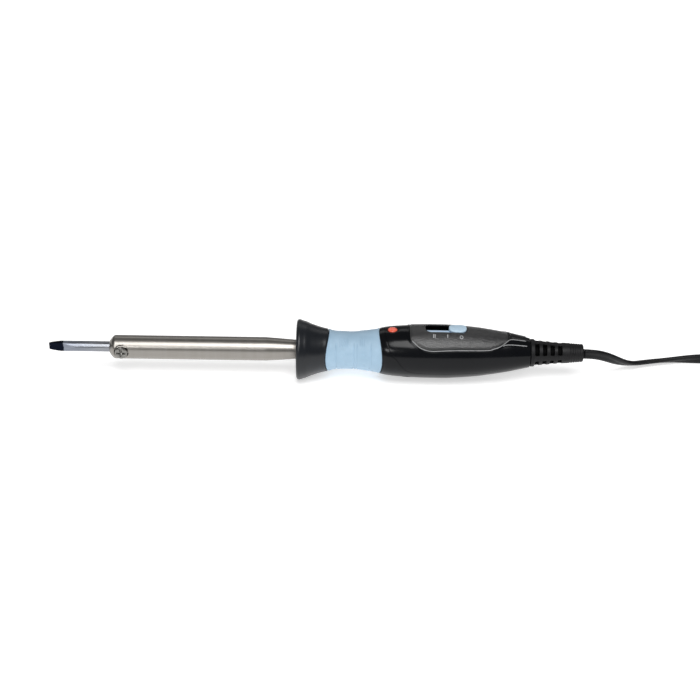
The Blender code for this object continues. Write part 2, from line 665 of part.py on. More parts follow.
posts = [(X_HANDLE + FRONT_POST[0], s * FRONT_POST[1]) for s in (-1, 1)]
posts += [(X_HANDLE + REAR_POST[0], s * REAR_POST[1]) for s in (-1, 1)]
post_split = BOARD_TOP - BOARD_THICKNESS - 2 * GAP
screw_seat = post_split - SEAT_THICKNESS
lower_solids = [cylinder(f"lower_post_{i}", (x, y, -FAR), (x, y, post_split), POST_RADIUS)
                for i, (x, y) in enumerate(posts)]
upper_solids = [cylinder(f"upper_post_{i}", (x, y, post_split + GAP), (x, y, FAR), POST_RADIUS)
                for i, (x, y) in enumerate(posts)]

board_rear = X_HANDLE + REAR_POST[0] - POST_RADIUS - 2 * MM
board_bottom = BOARD_TOP - BOARD_THICKNESS
for i, x in enumerate((board_front + 3 * MM, board_rear - 5 * MM)):
    lower_solids.append(box(f"board_rest_{i}", (x - 1 * MM, -BOARD_WIDTH / 3, -FAR),
                            (x + 1 * MM, BOARD_WIDTH / 3, board_bottom - GAP)))

clamp_x = X_RELIEF - CLAMP_FROM_END
clamp_bottom = CORD_TUBE_RADIUS + GAP
for i, y in enumerate((-CLAMP_SCREW_SIDE, CLAMP_SCREW_SIDE)):
    lower_solids.append(cylinder(f"clamp_post_{i}", (clamp_x, y, -FAR), (clamp_x, y, clamp_bottom - GAP),
                                 CLAMP_POST_RADIUS))
cut(lower_shell, trimmed("lower_bosses", lower_solids), "UNION")
cut(upper_shell, trimmed("upper_bosses", upper_solids), "UNION")

way_end = 2 * MM
ways = [turned(f"shell_screw_way_{i + 1}", [
    (-FAR, 0), (-FAR, SHELL_SCREW_HEAD + GAP), (screw_seat - GAP, SHELL_SCREW_HEAD + GAP),
    (screw_seat - GAP, SHELL_SCREW_RADIUS + GAP), (way_end, SHELL_SCREW_RADIUS + GAP), (way_end, 0)],
    None, facing((x, y, 0), (0, 0, 1)), 16) for i, (x, y) in enumerate(posts)]
shell_screw_ways = joined("shell_screw_ways", ways)
for shell in (lower_shell, upper_shell):
    cut(shell, shell_screw_ways)
for i, (x, y) in enumerate(posts):
    turned(f"shell_screw_{i + 1}", [
        (-way_end + LOOSE, 0), (-way_end + LOOSE, SHELL_SCREW_RADIUS), (-screw_seat + GAP, SHELL_SCREW_RADIUS),
        (-screw_seat + GAP, SHELL_SCREW_HEAD), (-screw_seat + 1.5 * MM, SHELL_SCREW_HEAD),
        (-screw_seat + 1.9 * MM, 0.7 * SHELL_SCREW_HEAD), (-screw_seat + 1.9 * MM, 0)],
        PLATED, facing((x, y, 0), (0, 0, -1)), 16)

# Switch panel: textured cover let into the upper shell, with the slot cut through both ---------------

panel_x = X_HANDLE + PANEL_START
# The panel's edge: share of its length, height over the axis as a share of the handle's largest radius
PANEL_EDGE = [(0.0, 0.984), (0.010, 0.820), (0.053, 0.715), (0.095, 0.620), (0.152, 0.550), (0.223, 0.513),
              (0.308, 0.520), (0.45, 0.530), (0.60, 0.520), (0.77, 0.500), (0.848, 0.522), (0.895, 0.560),
              (0.960, 0.625), (0.990, 0.685), (1.0, 0.748)]


def panel_region(name, grow):
    """Everything over the panel's edge, widened all round by grow."""
    edge = [(panel_x + share * PANEL_LENGTH, height * HANDLE_RADIUS) for share, height in PANEL_EDGE]
    middle = panel_x + PANEL_LENGTH / 2
    grown = [(x + math.copysign(grow, x - middle), z - grow) for x, z in edge]
    return plate(name, [grown + [(grown[-1][0], FAR), (grown[0][0], FAR)]], -FAR, FAR)


def panel_layer(name, inner, outer, finish=None):
    """A layer of the handle between two depths, measured from its surface and positive outwards."""
    inner_stations = stations[1:-1]
    return turned(name, [(x, handle_radius(x) + outer) for x in inner_stations]
                  + [(x, handle_radius(x) + inner) for x in reversed(inner_stations)], finish)


recess = panel_layer("panel_recess", PANEL_PROUD - PANEL_WALL - GAP, FAR)
cut(recess, panel_region("panel_recess_region", GAP), "INTERSECT")
cut(upper_shell, recess)
switch_panel = panel_layer("switch_panel", PANEL_PROUD - PANEL_WALL, PANEL_PROUD, GREY_TEXTURE)
cut(switch_panel, panel_region("panel_region", 0.0), "INTERSECT")

slot_start = X_HANDLE + SLOT_START
knob_front = slot_start + GAP + KNOB_TRAVEL
knob_rear = knob_front + KNOB_LENGTH
slot_end = knob_rear + GAP
for piece in (upper_shell, switch_panel):
    cut(piece, box(f"slot_in_{piece.name}", (slot_start, -SLOT_WIDTH / 2, SWITCH_BOTTOM),
                   (slot_end, SLOT_WIDTH / 2, FAR)))

# Switch: housing, fixed rail beside the slot, knob with its carriage, contact and terminals ----------

housing_side = SLOT_WIDTH / 2 + SWITCH_SIDE + SWITCH_WALL
knob_middle = (knob_front + knob_rear) / 2
carriage_rear = knob_middle + CARRIAGE_LENGTH / 2
carriage_front = carriage_rear - CARRIAGE_LENGTH
cavity_front = carriage_front - KNOB_TRAVEL - GAP
cavity_rear = carriage_rear + GAP
cavity_floor = SWITCH_BOTTOM + SWITCH_WALL
switch_body = box("switch_body", (cavity_front - SWITCH_WALL, -housing_side, SWITCH_BOTTOM),
                  (cavity_rear + SWITCH_WALL, housing_side, SWITCH_TOP), BLACK)
cut(switch_body, box("switch_cavity", (cavity_front, SWITCH_WALL - housing_side, cavity_floor),
                     (cavity_rear, housing_side - SWITCH_WALL, FAR)))

rail_side = SLOT_WIDTH / 2 - GAP
rail_edge = RAIL_WIDTH - rail_side
rail_top = math.sqrt((handle_radius(slot_end) + PANEL_PROUD) ** 2 - rail_side ** 2) - RAIL_SUNK
box("slot_rail", (slot_start + GAP, -rail_side, SWITCH_TOP + GAP), (slot_end - GAP, rail_edge, rail_top),
    BLUE_PLASTIC)

knob_top = math.sqrt((handle_radius(knob_middle) + PANEL_PROUD) ** 2 - rail_side ** 2) + KNOB_PROUD
stem_low, stem_high = rail_edge + GAP, rail_side
carriage_top = SWITCH_TOP - GAP
contact_top = cavity_floor + GAP + CONTACT_THICKNESS
switch_knob = box("switch_knob", (knob_front, -rail_side, rail_top + GAP), (knob_rear, rail_side, knob_top),
                  BLUE_PLASTIC)
knob_stem = box("knob_stem", (knob_front + 1 * MM, stem_low, carriage_top - 1 * MM),
                (knob_rear - 1 * MM, stem_high, rail_top + 1 * MM))
carriage = box("knob_carriage", (carriage_front, GAP + SWITCH_WALL - housing_side, contact_top + GAP),
               (carriage_rear, housing_side - SWITCH_WALL - GAP, carriage_top))
cut(switch_knob, knob_stem, "UNION")
cut(switch_knob, carriage, "UNION")
knob_rounding = switch_knob.modifiers.new("Rounding", "BEVEL")
knob_rounding.width = 0.5 * MM
knob_rounding.segments = 2
knob_rounding.limit_method = "ANGLE"
box("switch_contact", (carriage_front + 1 * MM, -2 * MM, cavity_floor + GAP),
    (carriage_rear - 1 * MM, 2 * MM, contact_top), COPPER, 0.2 * MM)
terminals = np.linspace(cavity_front + 2 * MM, cavity_rear - 2 * MM, 3)
for i, x in enumerate(terminals):
    box(f"switch_terminal_{i + 1}", (x - TERMINAL_THICKNESS / 2, -TERMINAL_WIDTH / 2, BOARD_TOP + GAP),
        (x + TERMINAL_THICKNESS / 2, TERMINAL_WIDTH / 2, SWITCH_BOTTOM - GAP), COPPER)

# Circuit board with the half-power diode and the lamp's resistor --------------------------------------

box("circuit_board", (board_front, -BOARD_WIDTH / 2, board_bottom),
    (board_rear, BOARD_WIDTH / 2, BOARD_TOP), BOARD)
component_start = board_front + COMPONENT_FROM_FRONT
for name, component_side, radius, length, finish in (
        ("diode", -COMPONENT_SIDE, DIODE_RADIUS, DIODE_LENGTH, BLACK),
        ("lamp_resistor", COMPONENT_SIDE, RESISTOR_RADIUS, RESISTOR_LENGTH, CERAMIC)):
    component_end = component_start + length
    turned(name, [
        (component_start - PIN_LENGTH, 0), (component_start - PIN_LENGTH, PIN_RADIUS),
        (component_start, PIN_RADIUS), (component_start, radius), (component_end, radius), (component_end, PIN_RADIUS),
        (component_end + PIN_LENGTH, PIN_RADIUS), (component_end + PIN_LENGTH, 0)],
        finish, Matrix.Translation((0, component_side, BOARD_TOP + GAP + radius)) @ ALONG_X, 16)

# Indicator: neon lamp standing under a domed lens in the upper shell ---------------------------------

lens_x = X_HANDLE + LENS_FROM_FRONT
lens_top = handle_radius(lens_x) + 0.35 * MM
under_shell = math.sqrt((handle_radius(lens_x) - SHELL_WALL) ** 2 - (LENS_RADIUS + LENS_RIM) ** 2) - GAP
rim_clear = LENS_RADIUS + LENS_RIM + GAP
cut(upper_shell, turned("lens_hole", [
    (2 * MM, 0), (2 * MM, rim_clear), (under_shell + GAP, rim_clear),
    (under_shell + GAP, LENS_RADIUS + GAP), (FAR, LENS_RADIUS + GAP), (FAR, 0)],
    None, facing((lens_x, 0, 0), (0, 0, 1)), 28))
lens_foot = under_shell - 1.0 * MM
dome = [(lens_top - 0.9 * MM * (1 - math.cos(a)), LENS_RADIUS * math.sin(a))
        for a in (math.radians(90), math.radians(68), math.radians(45), math.radians(22))]
turned("indicator_lens", [(lens_foot, 0), (lens_foot, LENS_RADIUS + LENS_RIM), (under_shell, LENS_RADIUS + LENS_RIM),
                          (under_shell, LENS_RADIUS)] + dome + [(lens_top, 0)],
       RED_LENS, facing((lens_x, 0, 0), (0, 0, 1)), 28)
lamp_top = lens_foot - LOOSE
lamp_foot = lamp_top - 6.5 * MM
cut(grip_core, cylinder("lamp_notch", (lens_x, 0, lamp_foot - LOOSE), (lens_x, 0, FAR),
                        rim_clear, None, 24))
turned("indicator_lamp", [(lamp_foot, 0), (lamp_foot, 2.0 * MM), (lamp_top - 1.4 * MM, 2.0 * MM),
                          (lamp_top - 0.4 * MM, 1.3 * MM), (lamp_top, 0)],
       GLASS, facing((lens_x, 0, 0), (0, 0, 1)), 16)

# Strain relief: rubber sleeve with four rows of windows, its head trapped in the shells ---------------

head_front = rear_wall - GAP - 3.4 * MM
relief_bore = CORD_WIDTH / 2 + GAP
ring_front = X_RELIEF + GAP
ring_rear = ring_front + RELIEF_RING_LENGTH
ribs_end = ring_rear + RELIEF_WINDOWS * RELIEF_PITCH
strain_relief = turned("strain_relief", [
    (head_front, relief_bore), (head_front, RELIEF_HEAD_RADIUS), (rear_wall - GAP, RELIEF_HEAD_RADIUS),
    (rear_wall - GAP, RELIEF_NECK_RADIUS), (ring_front, RELIEF_NECK_RADIUS), (ring_front, RELIEF_RING_RADIUS),
    (ring_rear, RELIEF_RING_RADIUS), (ring_rear + 0.2 * MM, RELIEF_RING_RADIUS - 0.5 * MM),
    (ribs_end, RELIEF_END_RADIUS + 0.55 * MM), (X_EXIT - 0.4 * MM, RELIEF_END_RADIUS),
    (X_EXIT, RELIEF_END_RADIUS - 0.4 * MM), (X_EXIT, relief_bore)], RUBBER)
window_blocks = []
for row in range(RELIEF_WINDOWS):
    x = ring_rear + 0.1 * MM + row * RELIEF_PITCH
    reach = 4.0 * MM - row * 0.3 * MM
    for quarter in range(4):
        block = box(f"window_{row}_{quarter}", (x, -reach, RELIEF_WINDOW_DEPTH),
                    (x + RELIEF_WINDOW, reach, FAR / 2))
        centre = Matrix.Translation((0, 0, AXIS_Z))
        turn = Matrix.Rotation(math.radians(45 + 90 * quarter), 4, "X")
        bpy.context.view_layer.update()
        block.matrix_world = centre @ turn @ centre.inverted() @ block.matrix_world
        window_blocks.append(block)
cut(strain_relief, joined("relief_windows", window_blocks))

# Cord inside the handle: held by a clamp, then split into two leads -----------------------------------

cord_end = clamp_x - CLAMP_LENGTH / 2 - 3 * MM
wire("cord_inner", [(cord_end + (X_EXIT - GAP - cord_end) * i / 8, 0, AXIS_Z) for i in range(9)],
     CORD_TUBE_RADIUS, CORD)
clamp_top = clamp_bottom + CLAMP_THICKNESS
clamp_screw_tip = clamp_bottom - CLAMP_SCREW_DEPTH
cord_clamp = box("cord_clamp", (clamp_x - CLAMP_LENGTH / 2, -CLAMP_WIDTH / 2, clamp_bottom),
                 (clamp_x + CLAMP_LENGTH / 2, CLAMP_WIDTH / 2, clamp_top), BLACK)
for i, y in enumerate((-CLAMP_SCREW_SIDE, CLAMP_SCREW_SIDE)):
    for piece in (cord_clamp, lower_shell):
        cut(piece, cylinder(f"{piece.name}_clamp_hole_{i + 1}", (clamp_x, y, clamp_screw_tip - 1 * MM),
                            (clamp_x, y, clamp_top + 1 * MM), CLAMP_SCREW_RADIUS + GAP, segments=16))
    turned(f"clamp_screw_{i + 1}", [
        (clamp_screw_tip, 0), (clamp_screw_tip, CLAMP_SCREW_RADIUS), (clamp_top + GAP, CLAMP_SCREW_RADIUS),
        (clamp_top + GAP, CLAMP_SCREW_HEAD), (clamp_top + 1.2 * MM, CLAMP_SCREW_HEAD),
        (clamp_top + 1.6 * MM, 0.65 * CLAMP_SCREW_HEAD), (clamp_top + 1.6 * MM, 0)],
        PLATED, facing((clamp_x, y, 0), (0, 0, 1)), 16)
for i, y in enumerate((-MAINS_LEAD_SIDE, MAINS_LEAD_SIDE)):
    route = [(cord_end - GAP, y, 0), (cord_end - 3 * MM, y, 0), (board_rear + 1 * MM, 1.6 * y, 0.4 * lead_height),
             (board_rear - 4 * MM, 2 * y, lead_height), (board_rear - 6 * MM, 2 * y, lead_height)]
    wire(f"mains_lead_{i + 1}", [(x, y, z + AXIS_Z) for x, y, z in smooth_path(route, 3 * MM)],
         LEAD_RADIUS, SLEEVING)

# Cord outside: down from the strain relief to the ground, then back along it to the hank --------------

fold_x = HANK_START + HANK_FOLD_RADIUS + CORD_THICKNESS / 2
CORD_ROUTE = [
    (152.5, 0.0, 17.0), (158.0, 0.4, 16.7), (163.0, 1.4, 15.4), (168.0, 3.2, 12.9), (173.0, 6.0, 9.4),
    (178.0, 9.3, 6.0), (184.0, 12.7, 3.7), (191.0, 15.6, 3.0), (200.0, 17.9, 2.9), (212.0, 19.8, 2.9),
    (226.0, 20.8, 2.9), (241.0, 20.8, 2.9)]
TAIL_ROUTE = [(390.0, 16.2, 7.9), (396.0, 12.6, 7.4), (401.0, 10.6, 7.25), (405.7, 10.0, 7.25)]
for name, route in (("cord", CORD_ROUTE), ("cord_tail", TAIL_ROUTE)):
    wire(name, smooth_path([(x * MM, y * MM, z * MM) for x, y, z in route], 6 * MM), CORD_TUBE_RADIUS, CORD)

# Hank: the rest of the cord, folded into runs that a tie draws together at their middle ---------------

hank_half = HANK_FOLD_RADIUS + CORD_THICKNESS / 2
waist_half = 2 * HANK_COLUMN + GAP
hank_middle = fold_x + HANK_RUN / 2
hank_top = 2 * HANK_LAYER


def hank_width(x):
    """Half the hank's width at a distance from its middle: widest at the folds, drawn in at the waist."""
    return hank_half - (hank_half - waist_half) * 0.5 * (1 + math.cos(2 * math.pi * x / HANK_RUN))


far_side = [(hank_middle + x, hank_width(x)) for x in np.linspace(-HANK_RUN / 2, HANK_RUN / 2, 25)]
far_fold = [(fold_x + HANK_RUN + hank_half * math.sin(a), hank_half * math.cos(a))
            for a in np.linspace(0, math.pi, 19)[1:-1]]
near_fold = [(fold_x - hank_half * math.sin(a), -hank_half * math.cos(a))
             for a in np.linspace(0, math.pi, 19)[1:-1]]
hank_outline = far_side + far_fold + [(x, -y) for x, y in reversed(far_side)] + near_fold
cord_hank = plate("cord_hank", [hank_outline], 0.0, hank_top, CORD, "XY")
groove_half = TIE_WIDTH / 2 + GAP
cut(cord_hank, box("tie_groove", (hank_middle - groove_half, -FAR, -AXIS_Z - FAR),
                   (hank_middle + groove_half, FAR, TIE_THICKNESS + GAP - AXIS_Z)))

# Tie: a flat strip round the hank's waist ---------------------------------------------------------------


def rounded_rectangle(half, low, high, radius):
    """An outline with rounded corners, from -half to half across and low to high."""
    corners = [(half - radius, high - radius, 0), (radius - half, high - radius, 90),
               (radius - half, low + radius, 180), (half - radius, low + radius, 270)]
    points = [(cx, cy, math.radians(start + step)) for cx, cy, start in corners for step in (0, 30, 60, 90)]
    return [(cx + radius * math.cos(angle), cy + radius * math.sin(angle)) for cx, cy, angle in points]


tie_inside = waist_half + 2 * GAP
tie_top = hank_top + TIE_THICKNESS + GAP
plate("hank_tie", [
    rounded_rectangle(tie_inside + TIE_THICKNESS, 0.0, tie_top + TIE_THICKNESS, 1.4 * MM),
    rounded_rectangle(tie_inside, TIE_THICKNESS, tie_top, 0.6 * MM)],
    hank_middle - TIE_WIDTH / 2, hank_middle + TIE_WIDTH / 2, RUBBER, "YZ")

# Plug: moulded body with a short tail, and two flat blades ----------------------------------------------

plug_z = PLUG_HEIGHT / 2 - AXIS_Z
body_start = PLUG_START + PLUG_TAIL
plug_end = body_start + PLUG_LENGTH
plug_body = box("plug_body", (body_start, PLUG_SIDE - PLUG_WIDTH / 2, -AXIS_Z),
                (plug_end, PLUG_SIDE + PLUG_WIDTH / 2, PLUG_HEIGHT - AXIS_Z), RUBBER)
plug_tail = turned("plug_tail", [(0, 0), (0, PLUG_TAIL_RADIUS - 1.0 * MM), (PLUG_TAIL + 2 * MM, PLUG_TAIL_RADIUS),
                            (PLUG_TAIL + 2 * MM, 0)], None,
              facing((PLUG_START, PLUG_SIDE, plug_z), (1, 0, 0)), 20)
cut(plug_body, plug_tail, "UNION")
plug_rounding = plug_body.modifiers.new("Rounding", "BEVEL")
plug_rounding.width = 2.0 * MM
plug_rounding.segments = 3
plug_rounding.limit_method = "ANGLE"
plug_rounding.angle_limit = math.radians(60)
for i, offset in enumerate((-BLADE_SPACING / 2, BLADE_SPACING / 2)):
    y = PLUG_SIDE + offset
    box(f"plug_blade_{i + 1}", (plug_end + GAP, y - BLADE_THICKNESS / 2, plug_z - BLADE_WIDTH / 2),
        (plug_end + BLADE_LENGTH, y + BLADE_THICKNESS / 2, plug_z + BLADE_WIDTH / 2), BRASS, 0.3 * MM)

for obj in parts.objects:
    if obj.type == "MESH":
        smooth(obj)
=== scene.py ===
"""Looks of the soldering iron, built around its CAD frame in the order in which it is put together.

The iron lies along X with its tip towards -X, its switch on top and its bit screw on the -Y side.
"""
import math

import bmesh
import bpy
import numpy as np
from mathutils import Matrix, Vector


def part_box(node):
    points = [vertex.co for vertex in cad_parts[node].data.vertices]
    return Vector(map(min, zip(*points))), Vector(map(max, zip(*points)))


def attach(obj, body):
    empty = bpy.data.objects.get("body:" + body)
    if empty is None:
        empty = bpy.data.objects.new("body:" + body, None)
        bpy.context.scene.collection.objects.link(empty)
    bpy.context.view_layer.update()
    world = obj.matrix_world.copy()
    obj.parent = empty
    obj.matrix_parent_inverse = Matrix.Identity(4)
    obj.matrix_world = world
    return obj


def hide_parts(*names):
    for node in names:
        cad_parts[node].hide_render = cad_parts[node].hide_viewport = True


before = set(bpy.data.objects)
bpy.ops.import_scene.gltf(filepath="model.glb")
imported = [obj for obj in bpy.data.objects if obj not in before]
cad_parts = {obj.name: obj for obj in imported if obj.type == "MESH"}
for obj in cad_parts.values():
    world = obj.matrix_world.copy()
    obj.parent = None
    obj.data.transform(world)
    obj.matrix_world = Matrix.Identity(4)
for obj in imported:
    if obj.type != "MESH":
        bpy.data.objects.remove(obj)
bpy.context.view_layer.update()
MM = 0.001

# ---- Camera, table and studio light -----------------------------------------------------------------
# A short telephoto looks down on the iron from the side of its bit screw, over a white table.
# One broad light overhead and two soft boxes, in front and behind, draw soft bright bands along it.

collar_low, collar_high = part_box("collar")
AXIS_Z = (collar_low.z + collar_high.z) / 2
AIM = Vector((19.4 * MM, 0.0, AXIS_Z))
EYE_DISTANCE = 0.91
EYE_ELEVATION = math.radians(30)
EYE_ROLL = math.radians(0.85)

camera_data = bpy.data.cameras.new("camera")
camera_data.lens = 82
camera_data.sensor_width = 36
camera = bpy.data.objects.new("camera", camera_data)
bpy.context.scene.collection.objects.link(camera)
eye = AIM + EYE_DISTANCE * Vector((0, -math.cos(EYE_ELEVATION), math.sin(EYE_ELEVATION)))
tilt = Matrix.Rotation(math.pi / 2 - EYE_ELEVATION, 4, "X")
camera.matrix_world = Matrix.Translation(eye) @ tilt @ Matrix.Rotation(EYE_ROLL, 4, "Z")
bpy.context.scene.camera = camera
bpy.context.scene.view_settings.view_transform = "Standard"


def node(tree, kind, **inputs):
    """A shader node of a kind; each input, its spaces written as _, takes a value or another's output."""
    made = tree.nodes.new("ShaderNode" + kind)
    for name, value in inputs.items():
        socket = made.inputs[name.replace("_", " ")]
        if isinstance(value, bpy.types.NodeSocket):
            tree.links.new(value, socket)
        else:
            socket.default_value = value
    return made


def grain(tree, scale, detail=3.0, stretch=(1.0, 1.0, 1.0)):
    """Noise on Object coordinates, packed closer along an axis where stretch is above one."""
    place = node(tree, "TexCoord").outputs["Object"]
    mapped = node(tree, "Mapping", Vector=place, Scale=stretch).outputs["Vector"]
    return node(tree, "TexNoise", Vector=mapped, Scale=scale, Detail=detail).outputs["Fac"]


def tone(tree, factor, dark, light):
    """A colour that goes from dark to light over the middle of a factor's range."""
    ramp = node(tree, "ValToRGB", Fac=factor)
    first, last = ramp.color_ramp.elements
    first.position, first.color = 0.3, (*dark, 1)
    last.position, last.color = 0.7, (*light, 1)
    return ramp.outputs["Color"]


def reading(tree, factor, low, high):
    """A number that goes from low to high over the middle of a factor's range."""
    spread = node(tree, "MapRange", Value=factor, From_Min=0.3, From_Max=0.7, To_Min=low, To_Max=high)
    return spread.outputs["Result"]


def surface(name, dark, light, gloss, scale, stretch=(1.0, 1.0, 1.0), depth=0.0, fine=6.0, **steady):
    """A finish whose colour and roughness drift together with grain, over a bump of finer grain, depth
    metres high. The steady inputs are the same all over and are set on the shader's own sockets."""
    made = bpy.data.materials.new(name)
    made.use_nodes = True
    tree = made.node_tree
    shader = tree.nodes["Principled BSDF"]
    for socket, value in steady.items():
        shader.inputs[socket.replace("_", " ")].default_value = value
    drift = grain(tree, scale, 4.0, stretch)
    tree.links.new(tone(tree, drift, dark, light), shader.inputs["Base Color"])
    tree.links.new(reading(tree, drift, *gloss), shader.inputs["Roughness"])
    if depth:
        finer = grain(tree, scale * fine, 2.0, stretch)
        bump = node(tree, "Bump", Height=finer, Distance=depth, Strength=1.0)
        tree.links.new(bump.outputs["Normal"], shader.inputs["Normal"])
    return made


REACH = 6.0
table_mesh = bpy.data.meshes.new("table")
corners = [(-REACH, -REACH, 0), (REACH, -REACH, 0), (REACH, REACH, 0), (-REACH, REACH, 0)]
table_mesh.from_pydata(corners, [], [(0, 1, 2, 3)])
table_white = surface("white_table", (0.88, 0.88, 0.88), (0.92, 0.92, 0.92), (0.85, 0.95), 3,
                      Emission_Strength=0.52)
table_mesh.materials.append(table_white)
table = bpy.data.objects.new("table", table_mesh)
bpy.context.scene.collection.objects.link(table)


def soft_box(name, place, size, power, aim=(0.0, 0.0, 0.02)):
    """A rectangular area light at place, turned towards aim."""
    data = bpy.data.lights.new(name, "AREA")
    data.shape = "RECTANGLE"
    data.size, data.size_y = size
    data.energy = power
    light = bpy.data.objects.new(name, data)
    way = Vector(aim) - Vector(place)
    light.matrix_world = Matrix.Translation(place) @ way.to_track_quat("-Z", "Y").to_matrix().to_4x4()
    bpy.context.scene.collection.objects.link(light)


sky = bpy.data.lights.new("light_overhead", "SUN")
sky.energy = 2.1
sky.angle = math.radians(36)
overhead = bpy.data.objects.new("light_overhead", sky)
overhead.rotation_euler = (math.radians(30), math.radians(6), 0)
bpy.context.scene.collection.objects.link(overhead)
soft_box("light_front", (-0.55, -1.5, 0.9), (0.5, 0.3), 5.0)
soft_box("light_back", (0.0, 1.2, 1.2), (1.6, 0.5), 2.5)
world = bpy.data.worlds.new("studio")
world.use_nodes = True
world.node_tree.nodes["Background"].inputs["Color"].default_value = (1, 1, 1, 1)
world.node_tree.nodes["Background"].inputs["Strength"].default_value = 0.19
bpy.context.scene.world = world

# ---- Cord: flat twin lead ----------------------------------------------------------------------------
# Two copper cores in one black sheath, moulded as a figure of eight with a groove between the cores.
# It leaves the strain relief on edge, twists as it drops to the table and runs back to its hank.

CORD_WIDTH = 5.8 * MM
CORD_THICKNESS = 3.0 * MM
CORD_ROUTE = [
    (152.5, 0.0, 17.0), (158.0, 0.4, 16.7), (163.0, 1.4, 15.4), (168.0, 3.2, 12.9), (173.0, 6.0, 9.4),
    (178.0, 9.3, 6.0), (184.0, 12.7, 3.7), (191.0, 15.6, 3.0), (200.0, 17.9, 2.9), (212.0, 19.8, 2.9),
    (226.0, 20.8, 2.9), (241.0, 20.8, 2.9)]
TAIL_ROUTE = [(390.0, 16.2, 7.9), (396.0, 12.6, 7.4), (401.0, 10.6, 7.25), (405.7, 10.0, 7.25)]
HANK_RUN = 117.0 * MM
FOLD_OUTER = 20.8 * MM
FOLD_INNER = 17.6 * MM
HANK_LAYER = 5.9 * MM
HANK_WAIST = 15.9 * MM              # how far the tie draws each run in
TIE_LIFT = 0.9 * MM                 # how far the strip under the hank lifts its runs
TIE_REACH = 9 * MM                  # how far along a run that lift fades
hank_low, hank_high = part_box("cord_hank")
hank_middle = (hank_low.x + hank_high.x) / 2
fold_near, fold_far = hank_middle - HANK_RUN / 2, hank_middle + HANK_RUN / 2


def smooth_values(at, stations, values):
    """Values on a smooth curve through the stations: a cubic between each two, whose slope at a station is
    the harmonic mean of the slopes on both sides, so that it never swings past the given values."""
    x, y = np.asarray(stations, float), np.asarray(values, float)
    step = np.diff(x)
    slope = np.diff(y) / step
    left, right = slope[:-1], slope[1:]
    same = left * right > 0
    mean = np.where(same, 2 * left * right / np.where(same, left + right, 1.0), 0.0)
    ends = np.concatenate([slope[:1], mean, slope[-1:]])
    at = np.clip(at, x[0], x[-1])
    i = np.clip(np.searchsorted(x, at) - 1, 0, len(x) - 2)
    t = (at - x[i]) / step[i]
    return ((2 * t**3 - 3 * t**2 + 1) * y[i] + (3 * t**2 - 2 * t**3) * y[i + 1]
            + (t**3 - 2 * t**2 + t) * step[i] * ends[i] + (t**3 - t**2) * step[i] * ends[i + 1])


def through(points, step):
    """Points about step apart along the Catmull-Rom curve through the given points."""
    given = np.asarray(points, float)
    given = np.vstack([2 * given[0] - given[1], given, 2 * given[-1] - given[-2]])
    pieces = []
    for a, b, c, d in zip(given, given[1:], given[2:], given[3:]):
        t = np.arange(0, 1, 1 / max(1, round(np.linalg.norm(c - b) / step)))[:, None]
        pieces.append(0.5 * (2 * b + (c - a) * t + (2 * a - 5 * b + 4 * c - d) * t**2
                             + (3 * b - a - 3 * c + d) * t**3))
    return np.vstack(pieces + [given[-2:-1]])


def hank_run(forward, radius, layer):
    """One straight run of the hank, out at its folds' radius and drawn in to the waist by a raised cosine.
    It rises a little over the tie, as a bell curve."""
    share = np.linspace(0, 1, 25)[:-1]
    along, side = (share, 1) if forward else (1 - share, -1)
    x = fold_near + HANK_RUN * along
    waist = HANK_WAIST * 0.5 * (1 - np.cos(2 * np.pi * share))
    lift = TIE_LIFT * np.exp(-((x - hank_middle) / TIE_REACH) ** 2)
    return np.column_stack([x, side * (radius - waist), HANK_LAYER * (layer + 0.5) + lift])


def hank_fold(far, start_radius, start_layer, end_radius, end_layer):
    """One fold of the hank: half a turn whose radius and height ease from those of one run to the next."""
    share = np.linspace(0, 1, 19)[:-1]
    ease = share * share * (3 - 2 * share)
    radius = start_radius + (end_radius - start_radius) * ease
    angle = np.pi * share
    if far:
        x, y = fold_far + radius * np.sin(angle), radius * np.cos(angle)
    else:
        x, y = fold_near - radius * np.sin(angle), -radius * np.cos(angle)
    z = HANK_LAYER * (0.5 + start_layer + (end_layer - start_layer) * ease)
    return np.column_stack([x, y, z])


free_run = through(np.array(CORD_ROUTE) * MM, 3 * MM)
free_run = free_run[free_run[:, 0] < fold_near - 6 * MM]
HANK_RUNS = [(FOLD_OUTER, 0), (FOLD_OUTER, 0), (FOLD_INNER, 0), (FOLD_INNER, 0), (FOLD_INNER, 1),
             (FOLD_INNER, 1), (FOLD_OUTER, 1)]      # each run's radius and layer
hank_path = []
for index, (radius, layer) in enumerate(HANK_RUNS):
    forward = index % 2 == 0
    if index:
        hank_path.append(hank_fold(not forward, *HANK_RUNS[index - 1], radius, layer))
    hank_path.append(hank_run(forward, radius, layer))
tail_points = np.vstack([
    hank_path[-1][-1], (fold_far, FOLD_OUTER, HANK_LAYER * 1.5),
    (fold_far + 9 * MM, FOLD_OUTER - 0.6 * MM, HANK_LAYER * 1.5), np.array(TAIL_ROUTE) * MM])
tail_run = through(tail_points, 3 * MM)[1:]
cord_path = np.vstack([free_run] + hank_path + [tail_run])


def even_path(points, step):
    """The same path with its points a step apart, lightly averaged so that its bends stay soft."""
    for _ in range(3):
        points = np.vstack([points[:1], (points[:-2] + 2 * points[1:-1] + points[2:]) / 4, points[-1:]])
    gone = np.concatenate([[0], np.cumsum(np.linalg.norm(np.diff(points, axis=0), axis=1))])
    at = np.linspace(0, gone[-1], max(2, round(gone[-1] / step)))
    return np.column_stack([np.interp(at, gone, points[:, k]) for k in range(3)]), at


cord_path, cord_gone = even_path(cord_path, 2.0 * MM)

# The wide side's lean from upright, in degrees, by distance from the strain relief
TWIST_AT = [0, 12 * MM, 38 * MM, 52 * MM, 80 * MM]
TWIST = [0, -8, -62, -60, 0]


